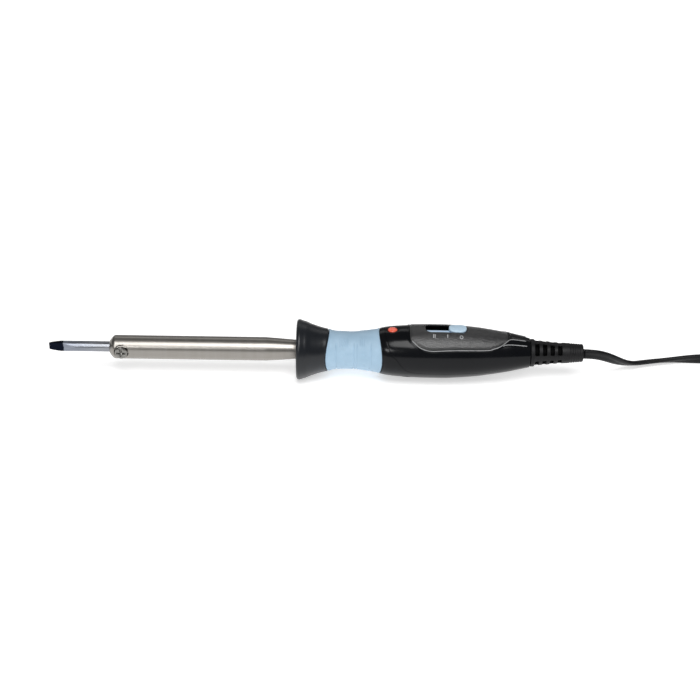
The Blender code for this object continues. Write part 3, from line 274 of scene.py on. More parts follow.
def mesh_object(name, points, quads, finish, weld=False):
    """A smooth-shaded object made of quads; weld merges points that fall together, as at a pole."""
    mesh = bpy.data.meshes.new(name)
    mesh.vertices.add(len(points))
    mesh.vertices.foreach_set("co", np.ascontiguousarray(points, np.float32).ravel())
    mesh.loops.add(quads.size)
    mesh.loops.foreach_set("vertex_index", np.ascontiguousarray(quads, np.int32).ravel())
    mesh.polygons.add(len(quads))
    mesh.polygons.foreach_set("loop_start", np.arange(0, quads.size, 4, dtype=np.int32))
    mesh.update(calc_edges=True)
    if weld:
        work = bmesh.new()
        work.from_mesh(mesh)
        bmesh.ops.remove_doubles(work, verts=work.verts, dist=0.002 * MM)
        work.to_mesh(mesh)
        work.free()
    mesh.validate()
    mesh.shade_smooth()
    mesh.materials.append(finish)
    made = bpy.data.objects.new(name, mesh)
    bpy.context.scene.collection.objects.link(made)
    return made


def grid_quads(rows, columns, wrap):
    """The quads of a grid of points, row after row; wrap joins the last column to the first."""
    i, j = np.meshgrid(np.arange(rows - 1), np.arange(columns if wrap else columns - 1), indexing="ij")
    k = (j + 1) % columns
    quads = np.stack([i * columns + j, (i + 1) * columns + j, (i + 1) * columns + k, i * columns + k], -1)
    return quads.reshape(-1, 4)


def joined_rings(name, rings, finish, flip=False):
    """A welded object from closed rings of points, each joined to the next; flip turns its faces over."""
    quads = grid_quads(len(rings), rings.shape[1], True)
    return mesh_object(name, rings.reshape(-1, 3), quads[:, ::-1] if flip else quads, finish, weld=True)


def swept(name, path, section, lean, finish):
    """A section carried along a path. At each point the section's own x axis lies level across the path and
    its y axis stands up from it, both turned about the path by lean; its ends close on their middles."""
    along = np.gradient(path, axis=0)
    along /= np.linalg.norm(along, axis=1)[:, None]
    across = np.cross(along, (0, 0, 1.0))
    across /= np.linalg.norm(across, axis=1)[:, None]
    up = np.cross(across, along)
    c, s = np.cos(lean)[:, None], np.sin(lean)[:, None]
    level, tall = across * c + up * s, up * c - across * s
    rings = (path[:, None] + section[None, :, 0:1] * level[:, None] + section[None, :, 1:2] * tall[:, None])
    start = np.broadcast_to(path[0], rings[:1].shape)
    end = np.broadcast_to(path[-1], rings[:1].shape)
    rings = np.concatenate([start, rings, end])
    return joined_rings(name, rings, finish, flip=True)


GROOVE_DEPTH, GROOVE_WIDTH = 0.32, 0.14     # shares of the sheath's thickness and width


def circle(count):
    """Angles round a full turn, the last just short of the first."""
    return np.linspace(0, 2 * np.pi, count, endpoint=False)


def squared_off(wave, power):
    """A sine or cosine whose size is raised to a power below one, which squares off a round outline."""
    return np.sign(wave) * np.abs(wave) ** power


def twin_section(width, thickness, count=28):
    """The sheath's outline: an ellipse-ended slab narrowed at its middle by the groove between the cores."""
    angle = circle(count)
    high = width / 2 * np.sin(angle)
    lobe = 1 - GROOVE_DEPTH * np.exp(-((high / (GROOVE_WIDTH * width)) ** 2))
    wide = thickness / 2 * squared_off(np.cos(angle), 0.6) * lobe
    return np.column_stack([wide, high])


sheath = surface("cord_sheath", (0.004, 0.0042, 0.0048), (0.010, 0.0105, 0.012), (0.34, 0.5), 260,
                 depth=0.00002, Specular_IOR_Level=0.2)
lean = np.radians(smooth_values(cord_gone, TWIST_AT, TWIST))
cord = swept("twin_cord", cord_path, twin_section(CORD_WIDTH, CORD_THICKNESS), lean, sheath)
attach(cord, "iron")
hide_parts("cord", "cord_hank", "cord_tail")

# ---- Bit: plated chisel ------------------------------------------------------------------------------
# A copper rod plated with iron and chrome, ground to a chisel whose edge stands upright. Its working
# end is dipped in tin, which has burnt dark; it slides in the barrel's socket for a change of bit.

bit_low, bit_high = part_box("bit")
X_TIP, BIT_REAR = bit_low.x, bit_high.x
BIT_RADIUS = (bit_high.z - bit_low.z) / 2
CHISEL_LENGTH = 15.7 * MM
CHISEL_HALF_EDGE = 0.5 * MM
BIT_PROFILE = [(0.0, 1.95), (1.2, 2.24), (2.3, 2.44), (3.6, 2.63), (4.9, 2.80), (6.2, 2.94), (7.2, 3.0),
               (8.0, 3.0)]
TIN_END, PLATING_START = 8.28 * MM, 8.64 * MM       # the burnt tin gives way to plating between these
COLOUR_REACH = 30 * MM


def around(points):
    """Points given as x, distance from the iron's axis and angle about it, which is 0 on the near side
    and a right angle on top, in space."""
    x, radius, angle = points
    return np.stack([x, -radius * np.cos(angle), AXIS_Z + radius * np.sin(angle)], -1)


def full_turn(count):
    """Angles round the iron's axis, from the underside back to just short of it."""
    return np.linspace(-np.pi / 2, 1.5 * np.pi, count, endpoint=False)


bit_offset, bit_size = np.array(BIT_PROFILE).T * MM
bit_x = np.concatenate([
    [0, 0, 0.04 * MM], np.linspace(0.15 * MM, 17 * MM, 110), np.linspace(18 * MM, BIT_REAR - X_TIP, 60),
    [BIT_REAR - X_TIP]])
bit_radius = smooth_values(bit_x, bit_offset, bit_size)
bit_radius[0] = bit_radius[-1] = 0
bit_radius[1] -= 0.08 * MM
grid_x, grid_angle = np.meshgrid(X_TIP + bit_x, full_turn(144), indexing="ij")
bit_points = around((grid_x, bit_radius[:, None], grid_angle))
flat = CHISEL_HALF_EDGE + (grid_x - X_TIP) * (BIT_RADIUS - CHISEL_HALF_EDGE) / CHISEL_LENGTH
bit_points[..., 1] = np.clip(bit_points[..., 1], -flat, flat)


def bit_finish():
    """Plated steel drawn along its length: burnt blue-black tin at the end, cool grey behind it. The
    bound between them follows X and wanders slightly with noise."""
    made = surface("plated_bit", (0.20, 0.21, 0.23), (0.30, 0.31, 0.33), (0.26, 0.40), 90, (1, 9, 9),
                   0.000006, Metallic=1.0)
    tree = made.node_tree
    shader = tree.nodes["Principled BSDF"]
    place = node(tree, "TexCoord").outputs["Object"]
    along = node(tree, "SeparateXYZ", Vector=place).outputs["X"]
    wander = reading(tree, grain(tree, 300), -0.0003, 0.0003)
    shifted = node(tree, "Math", Value=along)
    tree.links.new(wander, shifted.inputs[1])
    share = node(tree, "MapRange", Value=shifted.outputs["Value"], From_Min=X_TIP,
                 From_Max=X_TIP + COLOUR_REACH)
    ramp = node(tree, "ValToRGB", Fac=share.outputs["Result"])
    elements = ramp.color_ramp.elements
    elements[0].position, elements[0].color = TIN_END / COLOUR_REACH, (0.020, 0.026, 0.050, 1)
    elements[1].position, elements[1].color = 1.0, (1, 1, 1, 1)
    elements.new(PLATING_START / COLOUR_REACH).color = (0.86, 0.90, 1.0, 1)
    plated = shader.inputs["Base Color"].links[0].from_socket
    mixed = node(tree, "Mix")
    mixed.data_type = "RGBA"
    mixed.blend_type = "MULTIPLY"
    mixed.inputs["Factor"].default_value = 1.0
    colours = [socket for socket in mixed.inputs if socket.type == "RGBA"]
    tree.links.new(plated, colours[0])
    tree.links.new(ramp.outputs["Color"], colours[1])
    result = [socket for socket in mixed.outputs if socket.type == "RGBA"][0]
    tree.links.new(result, shader.inputs["Base Color"])
    return made


def fitted(piece, body, slot, *nodes):
    """The piece rides on a body and hides the CAD nodes that it stands for. Its slot is not used."""
    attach(piece, body)
    if nodes:
        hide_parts(*nodes)
    return piece


bit = joined_rings("chisel_bit", bit_points, bit_finish())
bit.data.set_sharp_from_angle(angle=math.radians(14))
fitted(bit, "bit", "plated_copper", "bit")

# ---- Barrel: steel tube over the heater --------------------------------------------------------------
# Stainless tube, spun in at the nose and swaged down to a flared end that the collar traps. A round
# hole near its nose lets the bit screw's head through. Fine turning marks ring it.

barrel_low, barrel_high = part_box("barrel_tube")
X_NOSE, BARREL_END = barrel_low.x, barrel_high.x
screw_low, screw_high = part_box("bit_screw")
SCREW_X = (screw_low.x + screw_high.x) / 2
SCREW_HEAD_RADIUS = (screw_high.z - screw_low.z) / 2
SCREW_FACE = -screw_low.y
X_COLLAR = collar_low.x
BARREL_RADIUS = 6.75 * MM
BARREL_WALL = 0.7 * MM
HOLE_GAP = 0.55 * MM                # how far the hole stands clear of the screw's head
BARREL_PROFILE = [
    (X_NOSE, 3.4), (X_NOSE + 0.04 * MM, 3.8), (X_NOSE + 0.25 * MM, 4.1), (X_NOSE + 1.0 * MM, 5.05),
    (X_NOSE + 2.0 * MM, 6.15), (X_NOSE + 2.7 * MM, 6.6), (X_NOSE + 3.4 * MM, 6.75),
    (X_COLLAR - 17.5 * MM, 6.75), (X_COLLAR - 16.0 * MM, 6.66), (X_COLLAR - 1.5 * MM, 5.60), (X_COLLAR, 5.45),
    (X_COLLAR + 5.0 * MM, 4.6), (BARREL_END - 2.4 * MM, 4.6), (BARREL_END, 6.6)]


def skin(name, u, v, place, inside, wall, finish, rounding=0.3 * MM, wrap=True):
    """A closed wall cut to an outline on a curved surface.

    place(u, v) gives the surface's points and inside(u, v) how far within the outline they are. Grid
    faces with a corner well inside are kept, and their outer corners slide down the gradient of inside
    until they lie one rounding within the outline. From there the edge rolls over as a quarter circle
    and runs straight to the inner face, which is the outer one moved inwards along its normals by wall."""
    grid_u, grid_v = (values.ravel() for values in np.meshgrid(u, v, indexing="ij"))
    step = 2e-5

    def slopes(f, a, b):
        """Central differences of f along u and v."""
        return (f(a + step, b) - f(a - step, b)) / (2 * step), (f(a, b + step) - f(a, b - step)) / (2 * step)

    along_v = slopes(place, grid_u, grid_v)[1]
    cell = np.median(np.linalg.norm(along_v, axis=1)) * abs(v[1] - v[0])
    depth = inside(grid_u, grid_v) - rounding
    quads = grid_quads(len(u), len(v), wrap)
    quads = quads[(depth[quads] > 0.3 * cell).any(axis=1)]
    used = np.unique(quads)
    edge = used[depth[used] < 0.3 * cell]
    for _ in range(5):
        du, dv = slopes(inside, grid_u[edge], grid_v[edge])
        pu, pv = slopes(place, grid_u[edge], grid_v[edge])
        du, dv = du / (pu**2).sum(1), dv / (pv**2).sum(1)
        slope = du**2 * (pu**2).sum(1) + dv**2 * (pv**2).sum(1)
        short = np.clip(rounding - inside(grid_u[edge], grid_v[edge]), -cell, cell) / np.maximum(slope, 1e-6)
        grid_u[edge] += short * du
        grid_v[edge] += short * dv
    points = place(grid_u, grid_v)[used]
    pu, pv = slopes(place, grid_u[used], grid_v[used])
    normal = np.cross(pu, pv)
    normal /= np.linalg.norm(normal, axis=1)[:, None]
    du, dv = slopes(inside, grid_u[used], grid_v[used])
    outward = -(pu * (du / (pu**2).sum(1))[:, None] + pv * (dv / (pv**2).sum(1))[:, None])
    outward /= np.maximum(np.linalg.norm(outward, axis=1), 1e-9)[:, None]
    quads = np.searchsorted(used, quads)
    sides = np.concatenate([quads[:, [k, (k + 1) % 4]] for k in range(4)])
    count = len(used)
    single = ~np.isin(sides[:, 0] * count + sides[:, 1], sides[:, 1] * count + sides[:, 0])
    rim = sides[single]
    rim_points = np.unique(rim)
    rim_at = np.searchsorted(rim_points, rim)
    layers, faces, last, made = [points], [quads], rim, count
    steps = [(rounding * np.sin(turn), rounding * (1 - np.cos(turn))) for turn in np.radians([30, 60, 90])]
    for out, down in steps + [(rounding, wall)]:
        layers.append(points[rim_points] + out * outward[rim_points] - down * normal[rim_points])
        following = rim_at + made
        faces.append(np.column_stack([last[:, 1], last[:, 0], following[:, 0], following[:, 1]]))
        last = following
        made += len(rim_points)
    layers.append(points - wall * normal)
    inner = rim + made
    faces.append(np.column_stack([last[:, 1], last[:, 0], inner[:, 0], inner[:, 1]]))
    faces.append(quads[:, ::-1] + made)
    return mesh_object(name, np.vstack(layers), np.vstack(faces), finish)


barrel_stations, barrel_sizes = np.array(BARREL_PROFILE).T


def barrel_place(x, angle):
    """The barrel's surface: its profile carried round the axis."""
    return around((x, smooth_values(x, barrel_stations, barrel_sizes * MM), angle))


def barrel_inside(x, angle):
    """Within the tube's two ends and outside the round hole for the screw's head."""
    height = BARREL_RADIUS * np.sin(angle)
    hole = np.hypot(x - SCREW_X, height) - SCREW_HEAD_RADIUS - HOLE_GAP
    hole = np.where(np.cos(angle) > 0, hole, 1.0)
    return np.minimum(np.minimum(x - X_NOSE, BARREL_END - x), hole)


barrel_steel = surface("turned_steel", (0.272, 0.257, 0.237), (0.292, 0.277, 0.257), (0.31, 0.33), 14,
                       (22, 1, 1), Metallic=1.0)
barrel_x = np.concatenate([
    np.linspace(X_NOSE, X_NOSE + 3 * MM, 24), np.linspace(X_NOSE + 3.3 * MM, X_NOSE + 13 * MM, 34),
    np.linspace(X_NOSE + 13.6 * MM, BARREL_END, 150)])
barrel = skin("barrel", barrel_x, full_turn(112), barrel_place, barrel_inside, BARREL_WALL, barrel_steel,
              0.18 * MM)
fitted(barrel, "iron", "barrel_steel", "barrel_tube")

# ---- Bit screw ---------------------------------------------------------------------------------------
# Plated pan-head screw with a cross recess. It passes through the socket's boss and bears on the bit,
# which slides out once the screw is slackened.

RECESS_ARM = 2.5 * MM
RECESS_HALF_WIDTH = 0.62 * MM
RECESS_DEPTH = 1.9 * MM
SHANK_RADIUS = 2.0 * MM
HEAD_SIDE = 1.2 * MM
HEAD_RISE = 0.55 * MM
SCREW_SIDES = 160
SCREW_FOOT = -screw_high.y


def domed_head(radius, rise, arm, half_width, depth):
    """A pan head as a height over rings and angles: rise times (1 - (r / radius)^4), less a cross recess
    whose depth fades over a short slope at its arms' sides and grows towards its middle."""
    ring = radius * np.sin(np.linspace(0, np.pi / 2, 64))
    spread, turn = np.meshgrid(ring, circle(SCREW_SIDES), indexing="ij")
    a, b = spread * np.cos(turn), spread * np.sin(turn)
    arms = np.minimum(np.maximum(np.abs(a) - arm, np.abs(b) - half_width),
                      np.maximum(np.abs(b) - arm, np.abs(a) - half_width))
    share = np.clip(0.5 - arms / (0.22 * MM), 0, 1)
    share = share * share * (3 - 2 * share)
    middle = 0.55 + 0.45 * np.exp(-((spread / (0.5 * arm)) ** 2))
    return a, b, rise * (1 - (spread / radius) ** 4) - depth * share * middle


def screw_points(foot, face, shank, head, head_side, recess):
    """A screw along +Z from its foot to its face: grid rows over the head, down its side and its shank."""
    a, b, height = domed_head(head, HEAD_RISE, *recess)
    rows = [np.stack([a, b, face - HEAD_RISE + height], -1)]
    turn = circle(SCREW_SIDES)
    low = face - HEAD_RISE - head_side
    down = [(head, low + 0.15 * MM), (head - 0.15 * MM, low), (shank, low), (shank, foot + 0.4 * MM),
            (0.8 * shank, foot), (0.0, foot)]
    for size, level in down:
        rows.append(np.stack([size * np.cos(turn), size * np.sin(turn), np.full_like(turn, level)], -1)[None])
    return np.concatenate(rows)


screw_grid = screw_points(SCREW_FOOT, SCREW_FACE, SHANK_RADIUS, SCREW_HEAD_RADIUS, HEAD_SIDE,
                          (RECESS_ARM, RECESS_HALF_WIDTH, RECESS_DEPTH))
outwards = screw_grid[..., 2]
screw_rings = np.stack([SCREW_X + screw_grid[..., 0], -outwards, AXIS_Z + screw_grid[..., 1]], -1)
plated = surface("plated_screw", (0.17, 0.165, 0.155), (0.27, 0.265, 0.25), (0.20, 0.32), 900,
                 depth=0.000006, Metallic=1.0)
bit_screw = joined_rings("bit_clamp_screw", screw_rings, plated)
fitted(bit_screw, "bit_screw", "plated_steel", "bit_screw")

# ---- Heater and its socket ---------------------------------------------------------------------------
# Inside the barrel: the socket tube, a winding between two mica sleeves, a ceramic bead and two leads
# in glass-fibre sleeving. Their solids are right as they are and take their finishes here.


def finish_nodes(finish, *names):
    """Give CAD nodes a finish."""
    for name in names:
        mesh = bpy.data.objects[name].data
        mesh.materials.clear()
        mesh.materials.append(finish)


mica = surface("mica_sheet", (0.42, 0.33, 0.20), (0.66, 0.56, 0.40), (0.25, 0.55), 220, (1, 3, 3), 0.00003)
nichrome = surface("nichrome_wire", (0.22, 0.20, 0.19), (0.40, 0.37, 0.35), (0.35, 0.55), 700, Metallic=1.0)
ceramic = surface("fired_ceramic", (0.70, 0.68, 0.62), (0.84, 0.82, 0.77), (0.55, 0.75), 240, depth=0.00003)
sleeving = surface("glass_sleeving", (0.60, 0.59, 0.55), (0.80, 0.79, 0.75), (0.6, 0.8), 900, (1, 4, 4),
                   0.00006)
finish_nodes(barrel_steel, "bit_socket")
finish_nodes(mica, "inner_mica", "outer_mica")
finish_nodes(nichrome, "heater_winding")
finish_nodes(ceramic, "rear_bead", "lamp_resistor")
finish_nodes(sleeving, "heater_lead_1", "heater_lead_2", "mains_lead_1", "mains_lead_2")

# ---- Collar: flared hand stop ------------------------------------------------------------------------
# Glossy black phenolic-like plastic, turned in one piece with the tube's neck let into it. Its rear
# edge follows the grip's saddle, and three screws from inside the grip hold it.

SADDLE_FRONT, SADDLE_REAR = 2.0 * MM, 1.9 * MM
SADDLE_REACH = 3.5 * MM
COLLAR_LENGTH = 18.7 * MM
GRIP_LENGTH = 28.4 * MM
GRIP_START = X_COLLAR + COLLAR_LENGTH
HANDLE_START = GRIP_START + GRIP_LENGTH
COLLAR_OUTSIDE = [
    (0.0, 13.6), (0.0, 15.4), (0.2, 16.3), (0.6, 16.95), (1.2, 17.25), (2.0, 17.3), (2.6, 17.1), (3.3, 16.85),
    (4.3, 16.5), (5.7, 16.1), (8.1, 15.05), (10.6, 14.15), (12.9, 13.4), (15.3, 12.75), (17.4, 12.35),
    (18.0, 12.2), (18.35, 11.8)]


def saddle_shift(x, angle):
    """How far the grip's ends bulge along X: forwards at its front and back at its rear, most at the
    sides and nothing on top and below, fading away from each end as a bell curve."""
    front = np.exp(-(((x - GRIP_START) / SADDLE_REACH) ** 2))
    rear = np.exp(-(((x - HANDLE_START) / SADDLE_REACH) ** 2))
    return np.cos(angle) ** 2 * (SADDLE_REAR * rear - SADDLE_FRONT * front)


def dense(points, step):
    """Points along a line, about step apart, keeping its corners."""
    given = np.array(points, float)
    pieces = [np.linspace(a, b, max(1, round(np.hypot(*(b - a)) / step)), endpoint=False)
              for a, b in zip(given, given[1:])]
    return np.vstack(pieces + [given[-1:]])


def turned_rings(outside, bore, segments):
    """Rings of a closed turned piece: its outside profile and then its bore, both as (x, radius), carried
    round the iron's axis. Each point's station and angle come with them."""
    profile = np.vstack([outside, bore, outside[:1]])
    x, angle = np.meshgrid(profile[:, 0], full_turn(segments), indexing="ij")
    return around((x, profile[:, 1][:, None], angle)), x, angle


collar_outside = through(np.array(COLLAR_OUTSIDE) * MM, 0.35 * MM) + (X_COLLAR, 0)
POCKET_RADIUS = 9.8 * MM
NECK_RADIUS = 4.95 * MM
MOUTH_RADIUS = 5.8 * MM
pocket_floor = X_COLLAR + 11.1 * MM
collar_bore = dense([
    (GRIP_START - 0.35 * MM, POCKET_RADIUS), (pocket_floor, POCKET_RADIUS), (pocket_floor, NECK_RADIUS),
    (X_COLLAR + 5 * MM, NECK_RADIUS), (X_COLLAR, MOUTH_RADIUS), collar_outside[0]], 1 * MM)
gloss_black = surface("gloss_black", (0.004, 0.0052, 0.0075), (0.007, 0.009, 0.0125), (0.28, 0.36), 60,
                      depth=0.000003, fine=14.0, Specular_IOR_Level=0.4)
collar_rings, ring_x, ring_angle = turned_rings(collar_outside, collar_bore, 192)
collar_rings[..., 0] += saddle_shift(ring_x, ring_angle)
collar = joined_rings("hand_stop", collar_rings, gloss_black)
fitted(collar, "iron", "collar_plastic", "collar")
finish_nodes(plated, "collar_screw_1", "collar_screw_2", "collar_screw_3")

# ---- Grip sleeve: soft blue rubber -------------------------------------------------------------------
# Thermoplastic rubber moulded over a stiff black core. Both ends carry a fine bead; shallow grooves
# ring its sides, short ribs cross its shoulders and two pairs of thumb dimples sit on each side.

GRIP_OUTSIDE = [(0.0, 11.75), (1.2, 11.6), (3.4, 11.1), (7.0, 10.8), (10.5, 10.7), (14.0, 10.8), (18.5, 11.2),
                (23.8, 12.0), (27.1, 12.5), (28.1, 12.6)]
GROOVES = [4.3, 14.0, 15.6, 23.3]
RIBS = [6.3, 7.4, 8.5, 9.6, 10.7, 17.8, 18.9, 20.0]
DIMPLES = [(8.7, 17), (19.7, 17), (8.7, -19), (19.7, -19)]
GRIP_BORE = 9.8 * MM
END_BEAD, GROOVE_CUT, RIB_RISE, DIMPLE_DEPTH = 0.28 * MM, 0.34 * MM, 0.28 * MM, 0.45 * MM
grip_offset, grip_size = np.array(GRIP_OUTSIDE).T * MM
grip_end = GRIP_START + grip_offset[-1]


def elevation(angle):
    """The angle above level, alike on both sides of the iron."""
    return np.pi / 2 - np.abs((angle + np.pi / 2) % (2 * np.pi) - np.pi)


def bell(distance, width):
    """One at no distance, fading to nothing beyond about two widths."""
    return np.exp(-((distance / width) ** 2))


def fade(value, low, high):
    """A smooth step from nothing at low to one at high."""
    share = np.clip((value - low) / (high - low), 0, 1)
    return share * share * (3 - 2 * share)


def grip_radius(x, angle):
    """The sleeve's profile, with its beads, grooves, ribs and dimples added as bell curves."""
    along = x - GRIP_START
    behind = grip_offset[-1] - along
    lift = elevation(angle)
    low_side = 1 - fade(lift, math.radians(40), math.radians(58))
    below_top = 1 - fade(lift, math.radians(66), math.radians(72))
    shoulder = fade(lift, math.radians(36), math.radians(42)) * below_top
    radius = smooth_values(along, grip_offset, grip_size)
    radius = radius + END_BEAD * (bell(along - 0.6 * MM, 0.4 * MM) + bell(behind - 0.6 * MM, 0.4 * MM))
    for groove in GROOVES:
        radius = radius - GROOVE_CUT * low_side * bell(along - groove * MM, 0.38 * MM)
    for rib in RIBS:
        radius = radius + RIB_RISE * shoulder * bell(along - rib * MM, 0.28 * MM)
    for place, height in DIMPLES:
        reach = np.hypot(along - place * MM, radius * (lift - math.radians(height)))
        radius = radius - DIMPLE_DEPTH * bell(reach, 0.9 * MM)
    return radius


def saddled_rings(stations, radius):
    """Rings of the sleeve at the stations, its points at radius(x, angle) and moved along X by the saddle."""
    x, angle = np.meshgrid(stations, full_turn(224), indexing="ij")
    rings = around((x, radius(x, angle), angle))
    rings[..., 0] += saddle_shift(x, angle)
    return rings


outer = saddled_rings(np.linspace(GRIP_START, grip_end, 190), grip_radius)
bore = saddled_rings(np.linspace(grip_end, GRIP_START, 12), lambda x, angle: GRIP_BORE)
blue_rubber = surface("blue_rubber", (0.30, 0.445, 0.575), (0.35, 0.50, 0.635), (0.48, 0.62), 160,
                      depth=0.00002, fine=9.0, Sheen_Weight=0.15)
sleeve = joined_rings("grip_cover", np.concatenate([outer, bore, outer[:1]]), blue_rubber)
fitted(sleeve, "iron", "blue_rubber", "grip_sleeve")
inner_black = surface("inner_black", (0.012, 0.012, 0.013), (0.022, 0.022, 0.024), (0.35, 0.55), 180,
                      depth=0.00002)
finish_nodes(inner_black, "grip_core")

# ---- Handle shells -----------------------------------------------------------------------------------
# Two glossy black mouldings split along a crease that drops from the top of the front edge and sweeps
# back along each side. Four screws from below hold them, and they trap the strain relief and the core.

relief_low, relief_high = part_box("strain_relief")
HANDLE_LENGTH = 85.6 * MM
HANDLE_END = HANDLE_START + HANDLE_LENGTH
HANDLE = [(0.2, 13.1), (1.2, 13.4), (3.1, 13.75), (8.7, 14.4), (17.7, 15.0), (26.0, 15.2), (36.0, 15.25),
          (45.7, 14.75), (51.5, 14.3), (57.3, 13.7), (62.4, 12.95), (68.3, 12.0), (74.2, 10.95),
          (79.6, 9.75), (85.6, 8.45)]
CREASE = [(3.0, 90), (3.2, 64), (4.3, 47.8), (5.4, 33.2), (6.9, 20), (9.8, 8), (12.9, -9), (16.5, -21.7),
          (23.1, -27.2), (35.7, -27.8), (43.7, -28.3), (53.7, -30.2), (63.7, -33.8), (73.7, -39.8),
          (88, -60)]
PANEL_LINE = [(16.8, 90), (17.3, 57), (19.7, 47.5), (22.1, 39.5), (25.3, 33.7), (29.3, 31), (34.1, 31.7),
              (42.1, 33), (60.2, 34.7), (64.6, 39.2), (67.2, 43.5), (71.1, 56.5), (72.9, 66), (73.3, 90)]
TAIL_LINES = [[(69.5, 48), (72, 52), (77.5, 54), (83.5, 54)], [(72.5, 64), (75, 72), (83.5, 75)]]
ARC_RADIUS = 14.5 * MM
SHELL_WALL = 2.0 * MM
SEAM = 0.06 * MM
LENS_X = HANDLE_START + 7.4 * MM
LENS_RADIUS = 2.7 * MM
PANEL_BEAD, TAIL_RIDGE = 0.38 * MM, 0.30 * MM
SEAT_DEPTH = 0.45 * MM
handle_offset, handle_size = np.array(HANDLE).T * MM


def handle_radius(x):
    """The handle's outside: a swelling spindle."""
    return smooth_values(x - HANDLE_START, handle_offset, handle_size)


def laid(line):
    """A line given as (mm behind the handle's front, elevation in degrees), as x and arc length."""
    points = np.array(line, float)
    points = np.column_stack([HANDLE_START + points[:, 0] * MM, np.radians(points[:, 1]) * ARC_RADIUS])
    return through(points, 1.0 * MM)


def to_line(line, x, arc):
    """Distance from points to a laid line, by the nearest of its segments."""
    a, way = line[:-1], np.diff(line, axis=0)
    gap_x, gap_arc = x[..., None] - a[:, 0], arc[..., None] - a[:, 1]
    share = np.clip((gap_x * way[:, 0] + gap_arc * way[:, 1]) / (way**2).sum(1), 0, 1)
    return np.hypot(gap_x - share * way[:, 0], gap_arc - share * way[:, 1]).min(-1)


def above(line, x, angle):
    """Signed distance from a laid line, positive over it; beyond its ends all is outside."""
    arc = elevation(angle) * ARC_RADIUS
    over = (arc > np.interp(x, line[:, 0], line[:, 1])) & (x > line[0, 0]) & (x < line[-1, 0])
    return np.where(over, 1, -1) * to_line(line, x, arc)


crease_line, panel_line = laid(CREASE), laid(PANEL_LINE)
tail_lines = [laid(line) for line in TAIL_LINES]


def shell_place(x, angle):
    """The shells' surface: the spindle with a bead round the panel, two tail ridges and a dished seat
    round the lens, and the front edge bent to the grip's saddle."""
    arc = elevation(angle) * ARC_RADIUS
    edge = to_line(panel_line, x, arc)
    radius = handle_radius(x) + PANEL_BEAD * bell(edge - 0.6 * MM, 0.42 * MM)
    for line in tail_lines:
        radius = radius + TAIL_RIDGE * bell(to_line(line, x, arc), 0.45 * MM)
    across = np.hypot(x - LENS_X, handle_radius(x) * (angle - np.pi / 2))
    radius = radius - SEAT_DEPTH * (1 - fade(across, LENS_RADIUS + 0.5 * MM, LENS_RADIUS + 1.1 * MM))
    return around((x + saddle_shift(x, angle), radius, angle))


def upper_inside(x, angle):
    """Over the crease, outside the panel and the lens hole, short of the strain relief."""
    hole = np.hypot(x - LENS_X, handle_radius(x) * (angle - np.pi / 2)) - LENS_RADIUS - 0.1 * MM
    parts = [above(crease_line, x, angle) - SEAM, -above(panel_line, x, angle) - SEAM, hole, HANDLE_END - x]
    return np.minimum.reduce(parts)


WELL_RADIUS = 2.2 * MM
WELL_SHORT = 2.0 * MM               # how far below its screw's inner end a well stops
wells = []
for index in range(1, 5):
    low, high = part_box(f"shell_screw_{index}")
    wells.append(((low.x + high.x) / 2, (low.y + high.y) / 2, high.z - WELL_SHORT))


def lower_inside(x, angle):
    """Under the crease, between the grip and the strain relief, outside the four screw wells."""
    y = -handle_radius(x) * np.cos(angle)
    holes = [np.where(np.sin(angle) < 0, np.hypot(x - a, y - b) - WELL_RADIUS, 1.0) for a, b, _ in wells]
    return np.minimum.reduce([-above(crease_line, x, angle) - SEAM, x - HANDLE_START, HANDLE_END - x] + holes)


shell_x = np.linspace(HANDLE_START, HANDLE_END, 236)
shell_black = surface("shell_black", (0.002, 0.0024, 0.0034), (0.004, 0.0046, 0.006), (0.14, 0.20), 45,
                      depth=0.000002, fine=18.0, Specular_IOR_Level=0.2)
for name, inside, shell_node in (("upper_handle", upper_inside, "upper_shell"),
                                 ("lower_handle", lower_inside, "lower_shell")):
    shell = skin(name, shell_x, full_turn(208), shell_place, inside, SHELL_WALL, shell_black, 0.09 * MM)
    fitted(shell, "iron", "black_plastic", shell_node)

# ---- Beads round the panel ---------------------------------------------------------------------------
# Fine beads on the upper shell: on each side one follows the panel's edge and runs on along the tail,
# and a short one lies below it there. They are coloured grey all over as a painted highlight, standing
# in for the light that their crests catch.

# Painted highlight: this grey stands in for the light caught along the beads' crests.
painted_highlight_grey = surface("bead_painted_highlight", (0.24, 0.245, 0.25), (0.34, 0.345, 0.35), (0.25, 0.35), 300)
BEAD_RADIUS = 0.25 * MM
BEAD_INSET = 0.35 * MM              # how far below its line a bead lies
BEAD_PROUD = 0.32 * MM              # how far its middle stands off the spindle
BEAD_LINES = [[(18.2, 53)] + PANEL_LINE[2:11] + [(70, 52), (72.5, 64), (75, 72), (83, 75)], TAIL_LINES[0]]
bead_turn = circle(10)
bead_section = BEAD_RADIUS * np.column_stack([np.cos(bead_turn), np.sin(bead_turn)])
for index, line in enumerate(BEAD_LINES):
    for side, flip in (("near", False), ("far", True)):
        bead_x, arc = laid(line).T
        lift = (arc - BEAD_INSET) / ARC_RADIUS
        path = around((bead_x, handle_radius(bead_x) + BEAD_PROUD, math.pi - lift if flip else lift))
        bead = swept(f"edge_bead_{side}_{index + 1}", path, bead_section, np.zeros(len(path)), painted_highlight_grey)
        fitted(bead, "iron", "black_plastic")

# ---- Shell screws ------------------------------------------------------------------------------------
# Four plated self-tapping screws go in from below and draw the two shells together. Each stands in a
# round well of the lower shell, which ends just within the shell's outside.

WELL_WALL = 0.9 * MM
WELL_SUNK = 0.6 * MM


